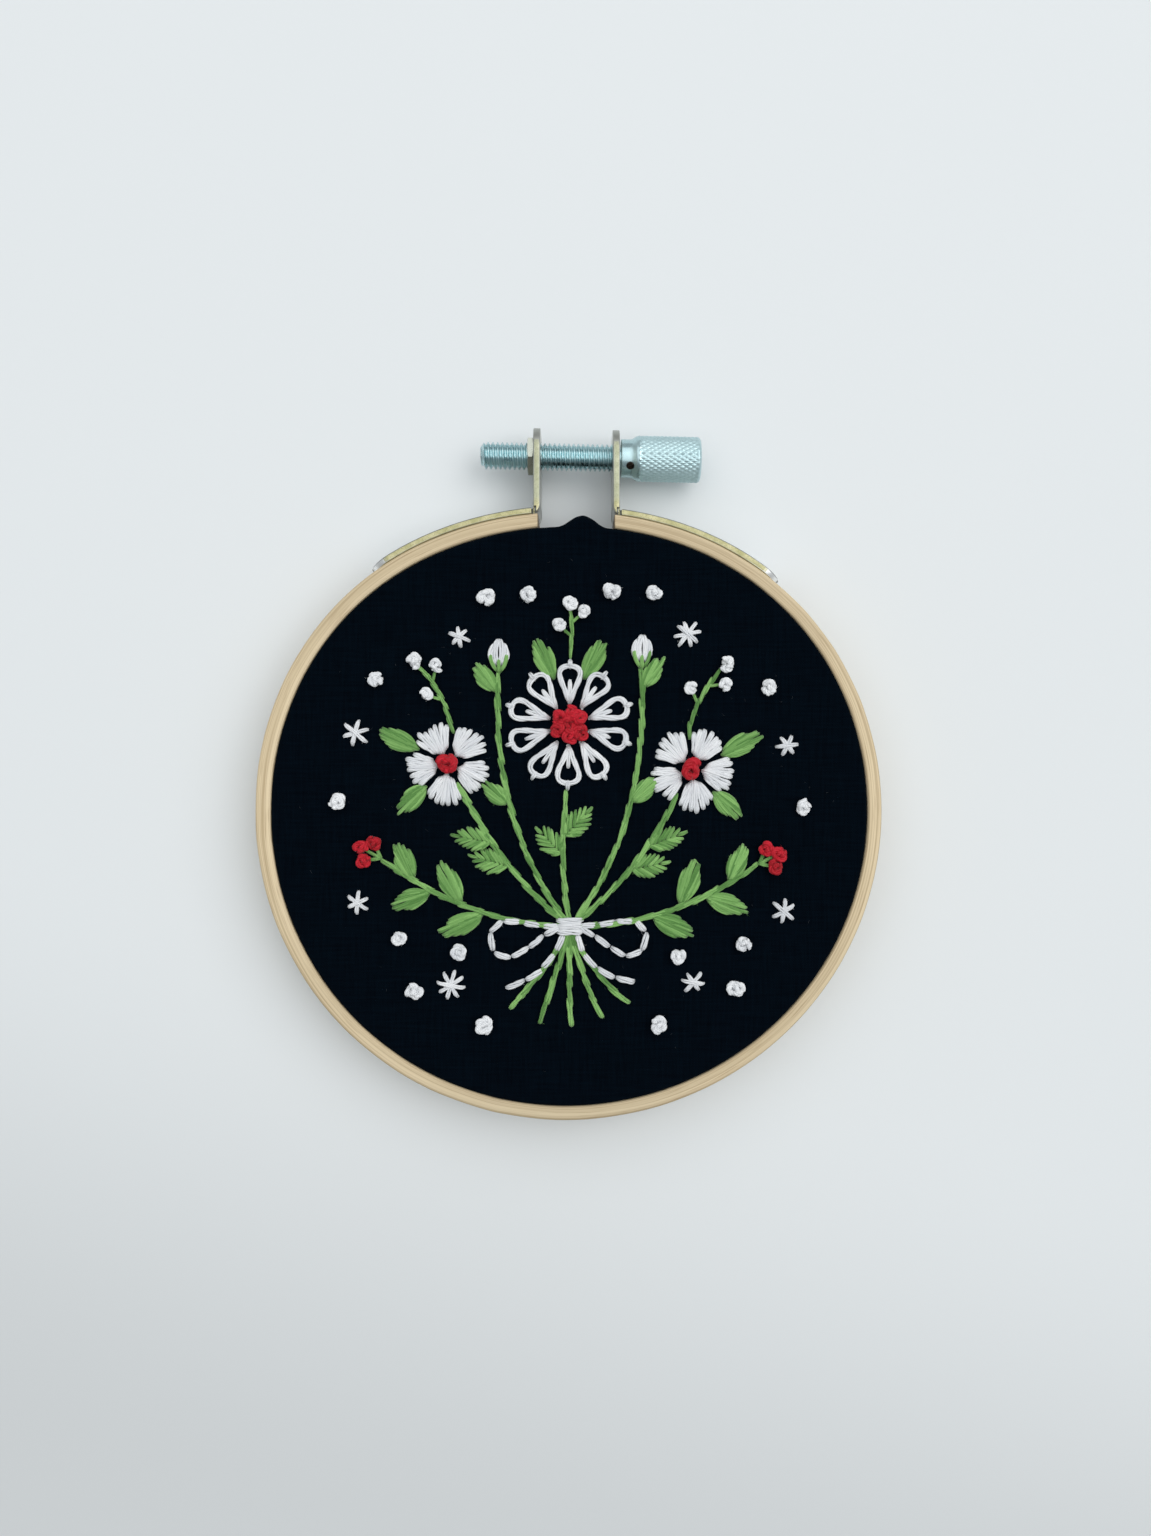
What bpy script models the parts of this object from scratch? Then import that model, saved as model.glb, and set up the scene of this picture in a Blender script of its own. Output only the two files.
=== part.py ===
"""Hoop embroidery art: black cotton stretched in a small bamboo hoop that lies on its back.

The cloth faces +Z and the thumb screw stands off towards +Y. The origin is under the middle of the
whole object, on the surface that it lies on. Sizes are in millimetres here and become metres in MM.
"""

import math

import bmesh
import bpy
from mathutils import Matrix, Vector

MM = 0.001

# Hoop
HOOP_RADIUS = 45.0
HOOP_DEPTH = 10.0
WOOD_THICKNESS = 2.2
WOOD_ROUNDING = 0.55
CLEARANCE = 0.3
# The split end draws the hoop flatter than a circle, most at FLAT_ANGLE from the top.
FLAT_DROP = 2.42
FLAT_ANGLE = math.radians(1.5)
FLAT_POWER = 2.8
SECTION_ANGLE = math.radians(3.75)
SPLIT_SECTION_ANGLE = math.radians(0.9375)
SPLIT_LEFT_X = -4.3
SPLIT_RIGHT_X = 6.7

# Cloth
CLOTH_THICKNESS = 1.0
CLOTH_RECESS = 0.2
CLOTH_EDGE_ROUNDING = 0.6
CLOTH_INNER_ROUNDING = 0.4
MARGIN_INNER_RADIUS = 31.0
MARGIN_PLEATS = 25
PLEAT_HEIGHT = 0.8
PLEAT_SCALLOP = 0.6
PLEAT_EDGE_SHARE = 0.3
# The gathers' height varies round the hoop: its mean, and waves as (count, height, shift).
PLEAT_MEAN = 0.72
PLEAT_WAVES = ((3, 0.18, 0.6), (7, 0.10, 0.0))
BULGE_X = 2.1
BULGE_HALF_WIDTH = 3.7
BULGE_HEIGHT = 1.6
BULGE_MIDDLE_SHARE = 0.9
BULGE_BACK_SHARE = 0.4

# Brackets
SHEET_THICKNESS = 0.9
EAR_THICKNESS = 1.0
EAR_INNER_LEFT_X = -4.05
EAR_INNER_RIGHT_X = 6.5
EAR_TOP_Y = 55.9
BRACKET_WIDTH = 9.6
BRACKET_CORNER = 3.2
BEND_RADIUS = 0.8
STRAP_END_LEFT = math.radians(-39.6)
STRAP_END_RIGHT = math.radians(43.0)
STRAP_STEP = math.radians(3.0)
BRACKET_CORNER_STEPS = 5
NOTCH_OFFSET = 0.2
NOTCH_RADIUS = 0.45
NOTCH_DEPTH = 0.9

# Screw and nut
SCREW_Y = 51.75
SCREW_TIP_X = -13.2
COLLAR_START_X = 7.8
COLLAR_END_X = 9.6
CONE_END_X = 10.5
HEAD_END_X = 19.6
THREAD_RADIUS = 1.98
THREAD_ROOT_RADIUS = 1.6
THREAD_PITCH = 0.7
COLLAR_RADIUS = 2.75
HEAD_RADIUS = 3.32
HEAD_CHAMFER = 0.45
THREAD_TIP_CHAMFER = 0.2
SCREW_SIDES = 20
NUT_ACROSS_FLATS = 5.3
NUT_THICKNESS = 0.9
HOLE_SIDES = 24

# The origin is under the middle of the whole object's box.
HOOP_CENTRE_Y = -(EAR_TOP_Y - HOOP_RADIUS) / 2

BAMBOO = {"color": (0.70, 0.56, 0.38, 1), "roughness": 0.55, "metallic": 0.0}
COTTON = {"color": (0.004, 0.006, 0.012, 1), "roughness": 0.9, "metallic": 0.0}
YELLOW_ZINC = {"color": (0.62, 0.62, 0.45, 1), "roughness": 0.42, "metallic": 0.9}
BLUE_ZINC = {"color": (0.42, 0.52, 0.56, 1), "roughness": 0.3, "metallic": 1.0}


def clear_scene():
    for obj in list(bpy.data.objects):
        bpy.data.objects.remove(obj, do_unlink=True)


def new_collection(name):
    collection = bpy.data.collections.new(name)
    bpy.context.scene.collection.children.link(collection)
    return collection


def make_material(name, look):
    material = bpy.data.materials.new(name)
    material.use_nodes = True
    shader = material.node_tree.nodes["Principled BSDF"]
    shader.inputs["Base Color"].default_value = look["color"]
    shader.inputs["Roughness"].default_value = look["roughness"]
    shader.inputs["Metallic"].default_value = look["metallic"]
    material.diffuse_color = look["color"]
    return material


def place(x, y, z):
    """A point given in millimetres from the hoop's centre, in metres from the origin."""
    return Vector((x, y + HOOP_CENTRE_Y, z)) * MM


def finish_object(bm, name, collection, material):
    """Makes the bmesh an object of the collection, with outward faces and smooth round sides."""
    bmesh.ops.recalc_face_normals(bm, faces=bm.faces)
    mesh = bpy.data.meshes.new(name)
    bm.to_mesh(mesh)
    bm.free()
    mesh.materials.append(material)
    mesh.shade_smooth()
    mesh.set_sharp_from_angle(angle=math.radians(35))
    obj = bpy.data.objects.new(name, mesh)
    collection.objects.link(obj)
    return obj


def rim_radius(angle, inset):
    """Distance from the hoop's centre to its outer face, less inset. The angle is clockwise from +Y."""
    flattening = max(0.0, math.cos(angle - FLAT_ANGLE)) ** FLAT_POWER
    return HOOP_RADIUS - inset - FLAT_DROP * flattening


def rim_point(angle, inset):
    radius = rim_radius(angle, inset)
    return radius * math.sin(angle), radius * math.cos(angle)


def rim_angle_at(x, inset):
    """Angle at which the line at inset crosses the given x, near the top."""
    angle = 0.0
    for _ in range(8):
        angle = math.asin(x / rim_radius(angle, inset))
    return angle


def corner_arc(inset, z, radius, start, steps):
    """Points (inset, z) of a quarter circle about its own centre, clockwise from the start angle."""
    points = []
    for i in range(steps + 1):
        turn = math.radians(start - 90 * i / steps)
        points.append((inset - radius * math.cos(turn), z + radius * math.sin(turn)))
    return points


def rounded_section(inset, thickness, z_low, z_high, rounding, steps):
    """Closed outline (inset, z) of a hoop's section, with rounded corners."""
    near = inset + rounding
    far = inset + thickness - rounding
    top = z_high - rounding
    bottom = z_low + rounding
    points = corner_arc(far, top, rounding, 180, steps)
    points += corner_arc(near, top, rounding, 90, steps)
    points += corner_arc(near, bottom, rounding, 0, steps)
    points += corner_arc(far, bottom, rounding, -90, steps)
    return points


def bridge_rings(bm, rings, closed_path):
    """Joins each ring of vertices to the next one with four-sided faces."""
    count = len(rings[0])
    pairs = list(zip(rings, rings[1:]))
    if closed_path:
        pairs.append((rings[-1], rings[0]))
    for here, there in pairs:
        for i in range(count):
            j = (i + 1) % count
            bm.faces.new((here[i], here[j], there[j], there[i]))


def closed_angles(step):
    count = round(2 * math.pi / step)
    return [i * step for i in range(count)]


def build_inner_hoop(collection, material):
    inset = WOOD_THICKNESS + CLOTH_THICKNESS + 2 * CLEARANCE
    z_low = CLOTH_THICKNESS + CLEARANCE
    z_high = HOOP_DEPTH - CLOTH_RECESS - CLOTH_THICKNESS - CLEARANCE
    outline = rounded_section(inset, WOOD_THICKNESS, z_low, z_high, WOOD_ROUNDING, 1)
    bm = bmesh.new()
    rings = []
    for angle in closed_angles(SECTION_ANGLE):
        rings.append([bm.verts.new(place(*rim_point(angle, i), z)) for i, z in outline])
    bridge_rings(bm, rings, closed_path=True)
    return finish_object(bm, "inner_hoop", collection, material)


def build_outer_hoop(collection, material):
    """The split hoop runs clockwise from the split's right end round to its left end."""
    outline = rounded_section(0, WOOD_THICKNESS, 0, HOOP_DEPTH, WOOD_ROUNDING, 2)
    middle = WOOD_THICKNESS / 2
    first = rim_angle_at(SPLIT_RIGHT_X, middle)
    last = 2 * math.pi + rim_angle_at(SPLIT_LEFT_X, middle)
    angles = [a for a in closed_angles(SECTION_ANGLE) if first < a - SECTION_ANGLE / 3]
    angles = [a for a in angles if a + SECTION_ANGLE / 3 < last]
    bm = bmesh.new()
    rings = []
    for angle in angles:
        rings.append([bm.verts.new(place(*rim_point(angle, i), z)) for i, z in outline])
    # The two ends are sawn square across the split, each in one plane.
    for x, index in ((SPLIT_RIGHT_X, 0), (SPLIT_LEFT_X, len(rings) + 1)):
        end = []
        for inset, z in outline:
            angle = rim_angle_at(x, inset)
            end.append(bm.verts.new(place(x, rim_radius(angle, inset) * math.cos(angle), z)))
        rings.insert(index, end)
    bridge_rings(bm, rings, closed_path=False)
    bm.faces.new(rings[0])
    bm.faces.new(rings[-1])
    return finish_object(bm, "outer_hoop", collection, material)


def bulge(angle, inset):
    """How far the cloth stands out through the split at this angle."""
    x = rim_point(angle, inset)[0]
    share = (x - BULGE_X) / BULGE_HALF_WIDTH
    if abs(share) >= 1 or math.cos(angle) < 0:
        return 0.0
    return BULGE_HEIGHT * math.cos(share * math.pi / 2) ** 2


def pleat(angle):
    """Height of the gathers at this angle, from 0 to 1, uneven as hand gathering is."""
    wave = 0.5 + 0.5 * math.cos(MARGIN_PLEATS * angle)
    unevenness = PLEAT_MEAN
    for count, height, shift in PLEAT_WAVES:
        unevenness += height * math.sin(count * angle + shift)
    return wave * unevenness


def cloth_angles():
    """Section angles, closer together across the split where the cloth bulges out."""
    low = rim_angle_at(BULGE_X - BULGE_HALF_WIDTH, WOOD_THICKNESS)
    high = rim_angle_at(BULGE_X + BULGE_HALF_WIDTH, WOOD_THICKNESS)
    near = math.ceil((high - low) / SPLIT_SECTION_ANGLE)
    fine = [low + (high - low) * i / near for i in range(near + 1)]
    room = SECTION_ANGLE / 3
    coarse = []
    for angle in closed_angles(SECTION_ANGLE):
        from_high = angle - high
        to_low = 2 * math.pi + low - angle
        if from_high > room and to_low > room:
            coarse.append(angle)
    return fine + coarse


def cloth_section(angle):
    """Points (inset, z) of the cloth at one angle, from the front's middle round to the underside.

    The front is taut, the wall goes down between the hoops, and the margin is turned in under the
    inner hoop. The gathers rise on the margin's inner side, so its outer side lies flat.
    """
    wall = WOOD_THICKNESS + CLEARANCE
    inside = wall + CLOTH_THICKNESS
    front = HOOP_DEPTH - CLOTH_RECESS
    under = front - CLOTH_THICKNESS
    rounding = CLOTH_EDGE_ROUNDING
    middle = HOOP_DEPTH / 2
    half_way = HOOP_RADIUS / 2
    out = bulge(angle, wall)
    lift = pleat(angle)
    edge = HOOP_RADIUS - MARGIN_INNER_RADIUS + PLEAT_SCALLOP * (lift - 0.5)
    flat = inside + CLEARANCE + WOOD_THICKNESS + CLEARANCE + rounding
    crest = (edge + flat) / 2
    inner_round = CLOTH_INNER_ROUNDING
    out_middle = BULGE_MIDDLE_SHARE * out
    out_back = BULGE_BACK_SHARE * out
    points = [(half_way, front)]
    for inset, z in corner_arc(wall + rounding, front - rounding, rounding, 90, 2):
        points.append((inset - out, z))
    points.append((wall - out_middle, middle))
    for inset, z in corner_arc(wall + rounding, rounding, rounding, 0, 2):
        points.append((inset - out_back, z))
    points.append((flat, 0.0))
    points.append((edge, 0.0))
    points.append((edge, CLOTH_THICKNESS + PLEAT_EDGE_SHARE * PLEAT_HEIGHT * lift))
    points.append((crest, CLOTH_THICKNESS + PLEAT_HEIGHT * lift))
    points.append((flat, CLOTH_THICKNESS))
    points.append((inside + inner_round, CLOTH_THICKNESS))
    points.append((inside - out_back, CLOTH_THICKNESS + inner_round))
    points.append((inside - out_middle, middle))
    points.append((inside - out, under - inner_round))
    points.append((inside + inner_round - out, under))
    points.append((half_way, under))
    return points


def build_cloth(collection, material):
    bm = bmesh.new()
    rings = []
    for angle in cloth_angles():
        outline = cloth_section(angle)
        rings.append([bm.verts.new(place(*rim_point(angle, i), z)) for i, z in outline])
    front = HOOP_DEPTH - CLOTH_RECESS
    centre_front = bm.verts.new(place(0, 0, front))
    centre_under = bm.verts.new(place(0, 0, front - CLOTH_THICKNESS))
    for here, there in zip(rings, rings[1:] + rings[:1]):
        bm.faces.new((centre_front, here[0], there[0]))
        bm.faces.new((centre_under, there[-1], here[-1]))
        for i in range(len(here) - 1):
            bm.faces.new((here[i], here[i + 1], there[i + 1], there[i]))
    return finish_object(bm, "cloth", collection, material)


def corner_half_width(distance):
    """Half the strip's width at a distance from its end, whose two corners are rounded."""
    half = BRACKET_WIDTH / 2
    if distance >= BRACKET_CORNER:
        return half
    drop = BRACKET_CORNER - math.sqrt(BRACKET_CORNER**2 - (BRACKET_CORNER - distance) ** 2)
    return half - drop


def bracket_path(side):
    """Stations (x, y, outward x, outward y, half thickness, half width) of one bent strip.

    The strip runs from the strap's end along the hoop to the split, turns up and becomes the ear.
    """
    strap_end, ear_inner = {
        -1: (STRAP_END_LEFT, EAR_INNER_LEFT_X),
        1: (STRAP_END_RIGHT, EAR_INNER_RIGHT_X),
    }[side]
    half_sheet = SHEET_THICKNESS / 2
    half_ear = EAR_THICKNESS / 2
    inset = -(CLEARANCE + half_sheet)
    ear_x = ear_inner + side * half_ear
    bend_x = ear_x + side * BEND_RADIUS
    bend_angle = rim_angle_at(bend_x, inset)
    length = abs(strap_end - bend_angle) * HOOP_RADIUS
    stations = []
    full_steps = math.ceil((length - BRACKET_CORNER) / (HOOP_RADIUS * STRAP_STEP))
    distances = []
    for i in range(BRACKET_CORNER_STEPS):
        turn = math.radians(90 * i / BRACKET_CORNER_STEPS)
        distances.append(BRACKET_CORNER * (1 - math.cos(turn)))
    for i in range(full_steps + 1):
        distances.append(BRACKET_CORNER + (length - BRACKET_CORNER) * i / full_steps)
    for distance in distances:
        angle = strap_end - side * distance / HOOP_RADIUS
        x, y = rim_point(angle, inset)
        width = corner_half_width(distance)
        stations.append((x, y, math.sin(angle), math.cos(angle), half_sheet, width))
    bend_y = stations[-1][1]
    for turn_degrees in (30, 60):
        turn = math.radians(turn_degrees)
        x = bend_x - side * BEND_RADIUS * math.sin(turn)
        y = bend_y + BEND_RADIUS * (1 - math.cos(turn))
        out = (side * math.sin(turn), math.cos(turn))
        stations.append((x, y, *out, half_sheet, BRACKET_WIDTH / 2))
    ear_distances = [EAR_TOP_Y - bend_y - BEND_RADIUS]
    ear_distances += reversed(distances[: BRACKET_CORNER_STEPS + 1])
    for distance in ear_distances:
        width = corner_half_width(distance)
        stations.append((ear_x, EAR_TOP_Y - distance, side, 0, half_ear, width))
    return stations


def add_cylinder(name, radius, length, centre, axis, sides, collection):
    """A cutter: a closed cylinder about the point, along X or Z."""
    bm = bmesh.new()
    bmesh.ops.create_cone(
        bm, cap_ends=True, segments=sides, radius1=radius * MM, radius2=radius * MM, depth=length * MM
    )
    if axis == "X":
        bmesh.ops.rotate(bm, verts=bm.verts, matrix=Matrix.Rotation(math.pi / 2, 3, "Y"))
    mesh = bpy.data.meshes.new(name)
    bm.to_mesh(mesh)
    bm.free()
    cutter = bpy.data.objects.new(name, mesh)
    cutter.location = place(*centre)
    cutter.hide_render = True
    cutter.display_type = "WIRE"
    collection.objects.link(cutter)
    return cutter


def cut(obj, cutter):
    modifier = obj.modifiers.new("cut_" + cutter.name, "BOOLEAN")
    modifier.operation = "DIFFERENCE"
    modifier.solver = "EXACT"
    modifier.object = cutter


def build_bracket(name, side, collection, cutters, material):
    bm = bmesh.new()
    rings = []
    middle = HOOP_DEPTH / 2
    stations = bracket_path(side)
    for x, y, out_x, out_y, half_thickness, half_width in stations:
        ring = []
        for across, up in ((1, 1), (1, -1), (-1, -1), (-1, 1)):
            point_x = x + across * half_thickness * out_x
            point_y = y + across * half_thickness * out_y
            ring.append(bm.verts.new(place(point_x, point_y, middle + up * half_width)))
        rings.append(ring)
    bridge_rings(bm, rings, closed_path=False)
    bm.faces.new(rings[0])
    bm.faces.new(rings[-1])
    obj = finish_object(bm, name, collection, material)
    hole = THREAD_RADIUS + CLEARANCE
    ear_x = stations[-1][0]
    hole_cutter = add_cylinder(
        name + "_hole", hole, 4 * EAR_THICKNESS, (ear_x, SCREW_Y, middle), "X", HOLE_SIDES, cutters
    )
    cut(obj, hole_cutter)
    # A relief notch in each edge of the sheet lets it bend sharply.
    bend_x = ear_x + side * (BEND_RADIUS + NOTCH_OFFSET)
    bend_y = rim_point(rim_angle_at(bend_x, 0), 0)[1] + CLEARANCE + SHEET_THICKNESS
    for end, z in (("front", middle + BRACKET_WIDTH / 2), ("back", middle - BRACKET_WIDTH / 2)):
        notch_cutter = add_cylinder(
            name + "_notch_" + end, NOTCH_RADIUS, 2 * NOTCH_DEPTH, (bend_x, bend_y, z), "Z", 12, cutters
        )
        cut(obj, notch_cutter)
    return obj


def build_nut(collection, cutters, material):
    centre_x = EAR_INNER_LEFT_X - EAR_THICKNESS - CLEARANCE - NUT_THICKNESS / 2
    centre = (centre_x, SCREW_Y, HOOP_DEPTH / 2)
    corner_radius = NUT_ACROSS_FLATS / math.sqrt(3) * MM
    bm = bmesh.new()
    bmesh.ops.create_cone(
        bm, cap_ends=True, segments=6, radius1=corner_radius, radius2=corner_radius, depth=NUT_THICKNESS * MM
    )
    # One edge of the hexagon faces +Z and two flats face along Y.
    bmesh.ops.rotate(bm, verts=bm.verts, matrix=Matrix.Rotation(math.pi / 6, 3, "Z"))
    bmesh.ops.rotate(bm, verts=bm.verts, matrix=Matrix.Rotation(math.pi / 2, 3, "Y"))
    obj = finish_object(bm, "nut", collection, material)
    obj.location = place(*centre)
    hole = THREAD_RADIUS + CLEARANCE
    cut(obj, add_cylinder("nut_hole", hole, 4 * NUT_THICKNESS, centre, "X", HOLE_SIDES, cutters))
    return obj


def screw_profile():
    """Outer line (x, radius) of the screw from its head's end to the thread's tip."""
    points = [(HEAD_END_X, 0.0), (HEAD_END_X, HEAD_RADIUS - HEAD_CHAMFER)]
    points.append((HEAD_END_X - HEAD_CHAMFER, HEAD_RADIUS))
    points.append((CONE_END_X, HEAD_RADIUS))
    points.append((COLLAR_END_X, COLLAR_RADIUS))
    points.append((COLLAR_START_X, COLLAR_RADIUS))
    points.append((COLLAR_START_X, THREAD_ROOT_RADIUS))
    turns = math.floor((COLLAR_START_X - SCREW_TIP_X) / THREAD_PITCH) - 1
    for turn in range(turns):
        x = COLLAR_START_X - (turn + 0.75) * THREAD_PITCH
        points.append((x, THREAD_RADIUS))
        points.append((x - THREAD_PITCH / 2, THREAD_ROOT_RADIUS))
    points.append((SCREW_TIP_X, THREAD_ROOT_RADIUS - THREAD_TIP_CHAMFER))
    points.append((SCREW_TIP_X, 0.0))
    return points


def build_thumb_screw(collection, material):
    """The profile lies in the XZ plane with the screw's axis on Z, and is turned about it."""
    mesh = bpy.data.meshes.new("thumb_screw")
    points = [(radius * MM, 0, x * MM) for x, radius in screw_profile()]
    edges = [(i, i + 1) for i in range(len(points) - 1)]
    mesh.from_pydata(points, edges, [])
    mesh.materials.append(material)
    obj = bpy.data.objects.new("thumb_screw", mesh)
    collection.objects.link(obj)
    screw = obj.modifiers.new("turned", "SCREW")
    screw.axis = "Z"
    screw.angle = 2 * math.pi
    screw.steps = SCREW_SIDES
    screw.render_steps = SCREW_SIDES
    screw.use_merge_vertices = True
    screw.merge_threshold = 0.00001
    screw.use_smooth_shade = True
    obj.rotation_euler = (0, math.pi / 2, 0)
    obj.location = place(0, SCREW_Y, HOOP_DEPTH / 2)
    return obj


def main():
    clear_scene()
    parts = new_collection("hoop_embroidery_art")
    cutters = new_collection("cutters")
    bamboo = make_material("bamboo", BAMBOO)
    cotton = make_material("cotton", COTTON)
    yellow_zinc = make_material("yellow_zinc", YELLOW_ZINC)
    blue_zinc = make_material("blue_zinc", BLUE_ZINC)
    build_outer_hoop(parts, bamboo)
    build_inner_hoop(parts, bamboo)
    build_cloth(parts, cotton)
    build_bracket("bracket_left", -1, parts, cutters, yellow_zinc)
    build_bracket("bracket_right", 1, parts, cutters, yellow_zinc)
    build_nut(parts, cutters, yellow_zinc)
    build_thumb_screw(parts, blue_zinc)


main()
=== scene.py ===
import math

import bmesh
import bpy
import numpy as np
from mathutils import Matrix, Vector


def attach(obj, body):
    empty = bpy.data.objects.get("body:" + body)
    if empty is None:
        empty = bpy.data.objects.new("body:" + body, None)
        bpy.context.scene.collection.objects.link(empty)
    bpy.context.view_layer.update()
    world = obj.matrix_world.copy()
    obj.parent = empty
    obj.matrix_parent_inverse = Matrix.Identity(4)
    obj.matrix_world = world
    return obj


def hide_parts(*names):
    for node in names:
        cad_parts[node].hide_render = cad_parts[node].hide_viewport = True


# Hoop embroidery art, lying on a pale sheet of paper. Sizes are in millimetres from the hoop's centre,
# as in the part's source, and become metres in placed(). x is to the right, y towards the thumb screw
# and z up from the table. An angle round the hoop runs clockwise from +Y, and an inset is a distance
# inwards from the hoop's outer face.

MM = 0.001
FULL_TURN = 2 * math.pi

# Outer hoop
HOOP_RADIUS = 45.0
HOOP_DEPTH = 10.0
WOOD_THICKNESS = 1.95
WOOD_ROUNDING = 0.36
WOOD_UNEVENNESS = 0.035
FLAT_DROP = 2.42
FLAT_ANGLE = math.radians(-2)
FLAT_POWER = 3.4
LOBE = 0.17
LOBE_ANGLE = math.radians(108)
SWELL = 0.26
SWELL_ANGLE = math.radians(288)
SWELL_OUTWARD = 0.3
SPLIT_LEFT_X = -4.3
SPLIT_RIGHT_X = 6.7
SPLIT_EDGE = 0.12
SPLIT_ROOM = 1.2
EDGE_GRAIN = 0.1
FRAME_TOP_Y = 55.9
HOOP_CENTRE_Y = -(FRAME_TOP_Y - HOOP_RADIUS) / 2
OUTER_SECTIONS = 360
END_GRAIN_SCALE = 8

# Inner hoop
INNER_INSET = 2.38
INNER_LOW = 0.4
INNER_HIGH = 9.4
INNER_ROUNDING = 0.45
INNER_SEAM = math.radians(200)
INNER_SECTIONS = 300

# Cloth
SHEET = 0.35
FRONT = 9.8
WALL = 1.99
CLOTH_ROUNDING = 0.55
CLOTH_NEAR = WALL + CLOTH_ROUNDING
MARGIN_END = 14.0
MARGIN_WIDTH = 10.5
MARGIN_FLAT_SHARE = 0.25
MARGIN_PLEATS = 25
BULGE_X = 2.1
BULGE_HALF_WIDTH = 3.7
BULGE_HEIGHT = 1.6
BULGE_BACK_SHARE = 0.4
THREAD_PAIR = 0.36 * MM
DIMPLE_DEPTH = 0.16
DIMPLE_RADIUS = 0.34
PULL_DEPTH = 0.05
PULL_RADIUS = 1.3
FRONT_SAG = 0.03
UNDERSIDE = FRONT - SHEET - 0.05
FRONT_RINGS = 92
UNDER_RINGS = 12
WALL_RINGS = 7
MARGIN_RINGS = 9
CLOTH_ANGLES = 430
BULGE_ANGLES = 56
# The weave's length per ring round the wall's upper and lower corner, and up its inside
UPPER_STEP = 0.22
LOWER_STEP = 0.3
INSIDE_RISE = 8.5

# Brackets, with a value for the left (-1) and the right (1)
PLATE = 0.9
PLATE_EDGE = 0.16
EAR_THICKNESS = 1.0
EAR_INNER_X = {-1: -4.0, 1: 6.5}
EAR_TOP_Y = {-1: 55.4, 1: 55.1}
BRACKET_WIDTH = 9.6
BRACKET_CORNER = 3.2
BEND_RADIUS = 0.8
STRAP_END = {-1: math.radians(-39.6), 1: math.radians(43.0)}
STRAP_GAP = 0.03
NOTCH_RADIUS = 0.36
NOTCH_DEPTH = 1.2
NOTCH_OFFSET = -0.4
NOTCH_BELOW = 0.5
NOTCH_ABOVE = 1.15

# Screw and nut
SCREW_Y = 51.62
SCREW_Z = 5.0
SCREW_LEAN = -0.0216
SCREW_LEAN_X = 2.65
SCREW_TIP_X = -12.85
COLLAR_START_X = 7.8
COLLAR_END_X = 9.15
CONE_END_X = 10.4
HEAD_END_X = 19.47
THREAD_RADIUS = 1.98
THREAD_ROOT = 1.56
THREAD_PITCH = 0.7
COLLAR_RADIUS = 2.75
COLLAR_EDGE = 0.12
HEAD_RADIUS = 3.32
HEAD_CHAMFER = 0.45
HEAD_STEP = 0.06
HEAD_RIM = 0.2
SHANK_SIDES = 60
HEAD_PER_SHANK = 5
HEAD_SIDES = SHANK_SIDES * HEAD_PER_SHANK
KNURL_STARTS = 32
KNURL_DEPTH = 0.14
KNURL_SLOPE = math.tan(math.radians(30))
PIN_HOLE_X = 9.1
PIN_HOLE_RADIUS = 0.6
PIN_HOLE_DEPTH = 3.6
PIN_HOLE_TILT = math.radians(36)
NUT_ACROSS_FLATS = 5.3
NUT_THICKNESS = 0.9
NUT_CHAMFER = 0.16
NUT_GAP = 0.04
NUT_TURN = 105
BORE_RADIUS = 2.05

# Floss
STRAND_SIDES = 5
STRAND_SHARE = 0.84
HOLE_DEPTH = 0.45
DIVE = 0.7
SHORTEST_STITCH = 0.3
LIFT_SHARE = 0.46
BACK_WIDTH = 0.6
BACK_HEIGHT = 0.36
BACK_SHORTEST = 0.5
BACK_LONGEST = 9.0
GATHERING_FROM_EDGE = 2.6
GATHERING_WIDTH = 0.4
# Loose fibres, as length, radius and share of the length that they rise
FUZZ = (0.38, 0.010, 0.7)
LINT = (0.42, 0.012, 0.15)
LINT_REACH = 39.0

# Picture. Places are in metres, and a lamp is its place, side, power in watts and colour.
CAMERA_PLACE = (0.00110, 0.00031, 0.1761)
CAMERA_LENS = 27.13
CAMERA_SENSOR = 36.0
FLOOR_HALF = 3000.0
LAMPS = {
    "window": ((1.375, 0.374, 2.0), 2.0, 18.7, (1.0, 0.99, 0.98)),
    "sky": ((-0.005, 0.141, 0.512), 0.9, 2.15, (0.97, 0.99, 1.0)),
}
ROOM_LOW = (0.50, 0.525, 0.545)
ROOM_HIGH = (0.90, 0.93, 0.95)
ROOM_STRENGTH = 0.483


def placed(points):
    """Points in millimetres from the hoop's centre, as metres in the part's frame."""
    moved = np.array(points, dtype=float)
    moved[..., 1] += HOOP_CENTRE_Y
    return moved * MM


def rim_radius(angle, inset):
    """Radius of the line at inset. The hoop has a flattened top and is otherwise a little out of
    round, in three lobes, and its strip is thicker on the left, most of it on the inside.
    """
    flattening = np.maximum(0.0, np.cos(angle - FLAT_ANGLE)) ** FLAT_POWER
    lobes = LOBE * np.cos(3 * (angle - LOBE_ANGLE)) * (1 - flattening)
    swell = SWELL * np.maximum(0.0, np.cos(angle - SWELL_ANGLE)) ** 2
    inwards = np.clip(np.divide(inset, WOOD_THICKNESS), 0, 1)
    return HOOP_RADIUS - inset - FLAT_DROP * flattening + lobes + swell * (SWELL_OUTWARD - inwards)


def rim_angle_at(x, inset):
    """Angle at which the line at inset crosses the given x, near the top."""
    angle = 0.0
    for _ in range(8):
        angle = math.asin(x / rim_radius(angle, inset))
    return angle


def rim_y_at(x, inset):
    angle = rim_angle_at(x, inset)
    return rim_radius(angle, inset) * math.cos(angle)


def polar(angle, radius, z):
    return np.stack(np.broadcast_arrays(radius * np.sin(angle), radius * np.cos(angle), z), axis=-1)


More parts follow.
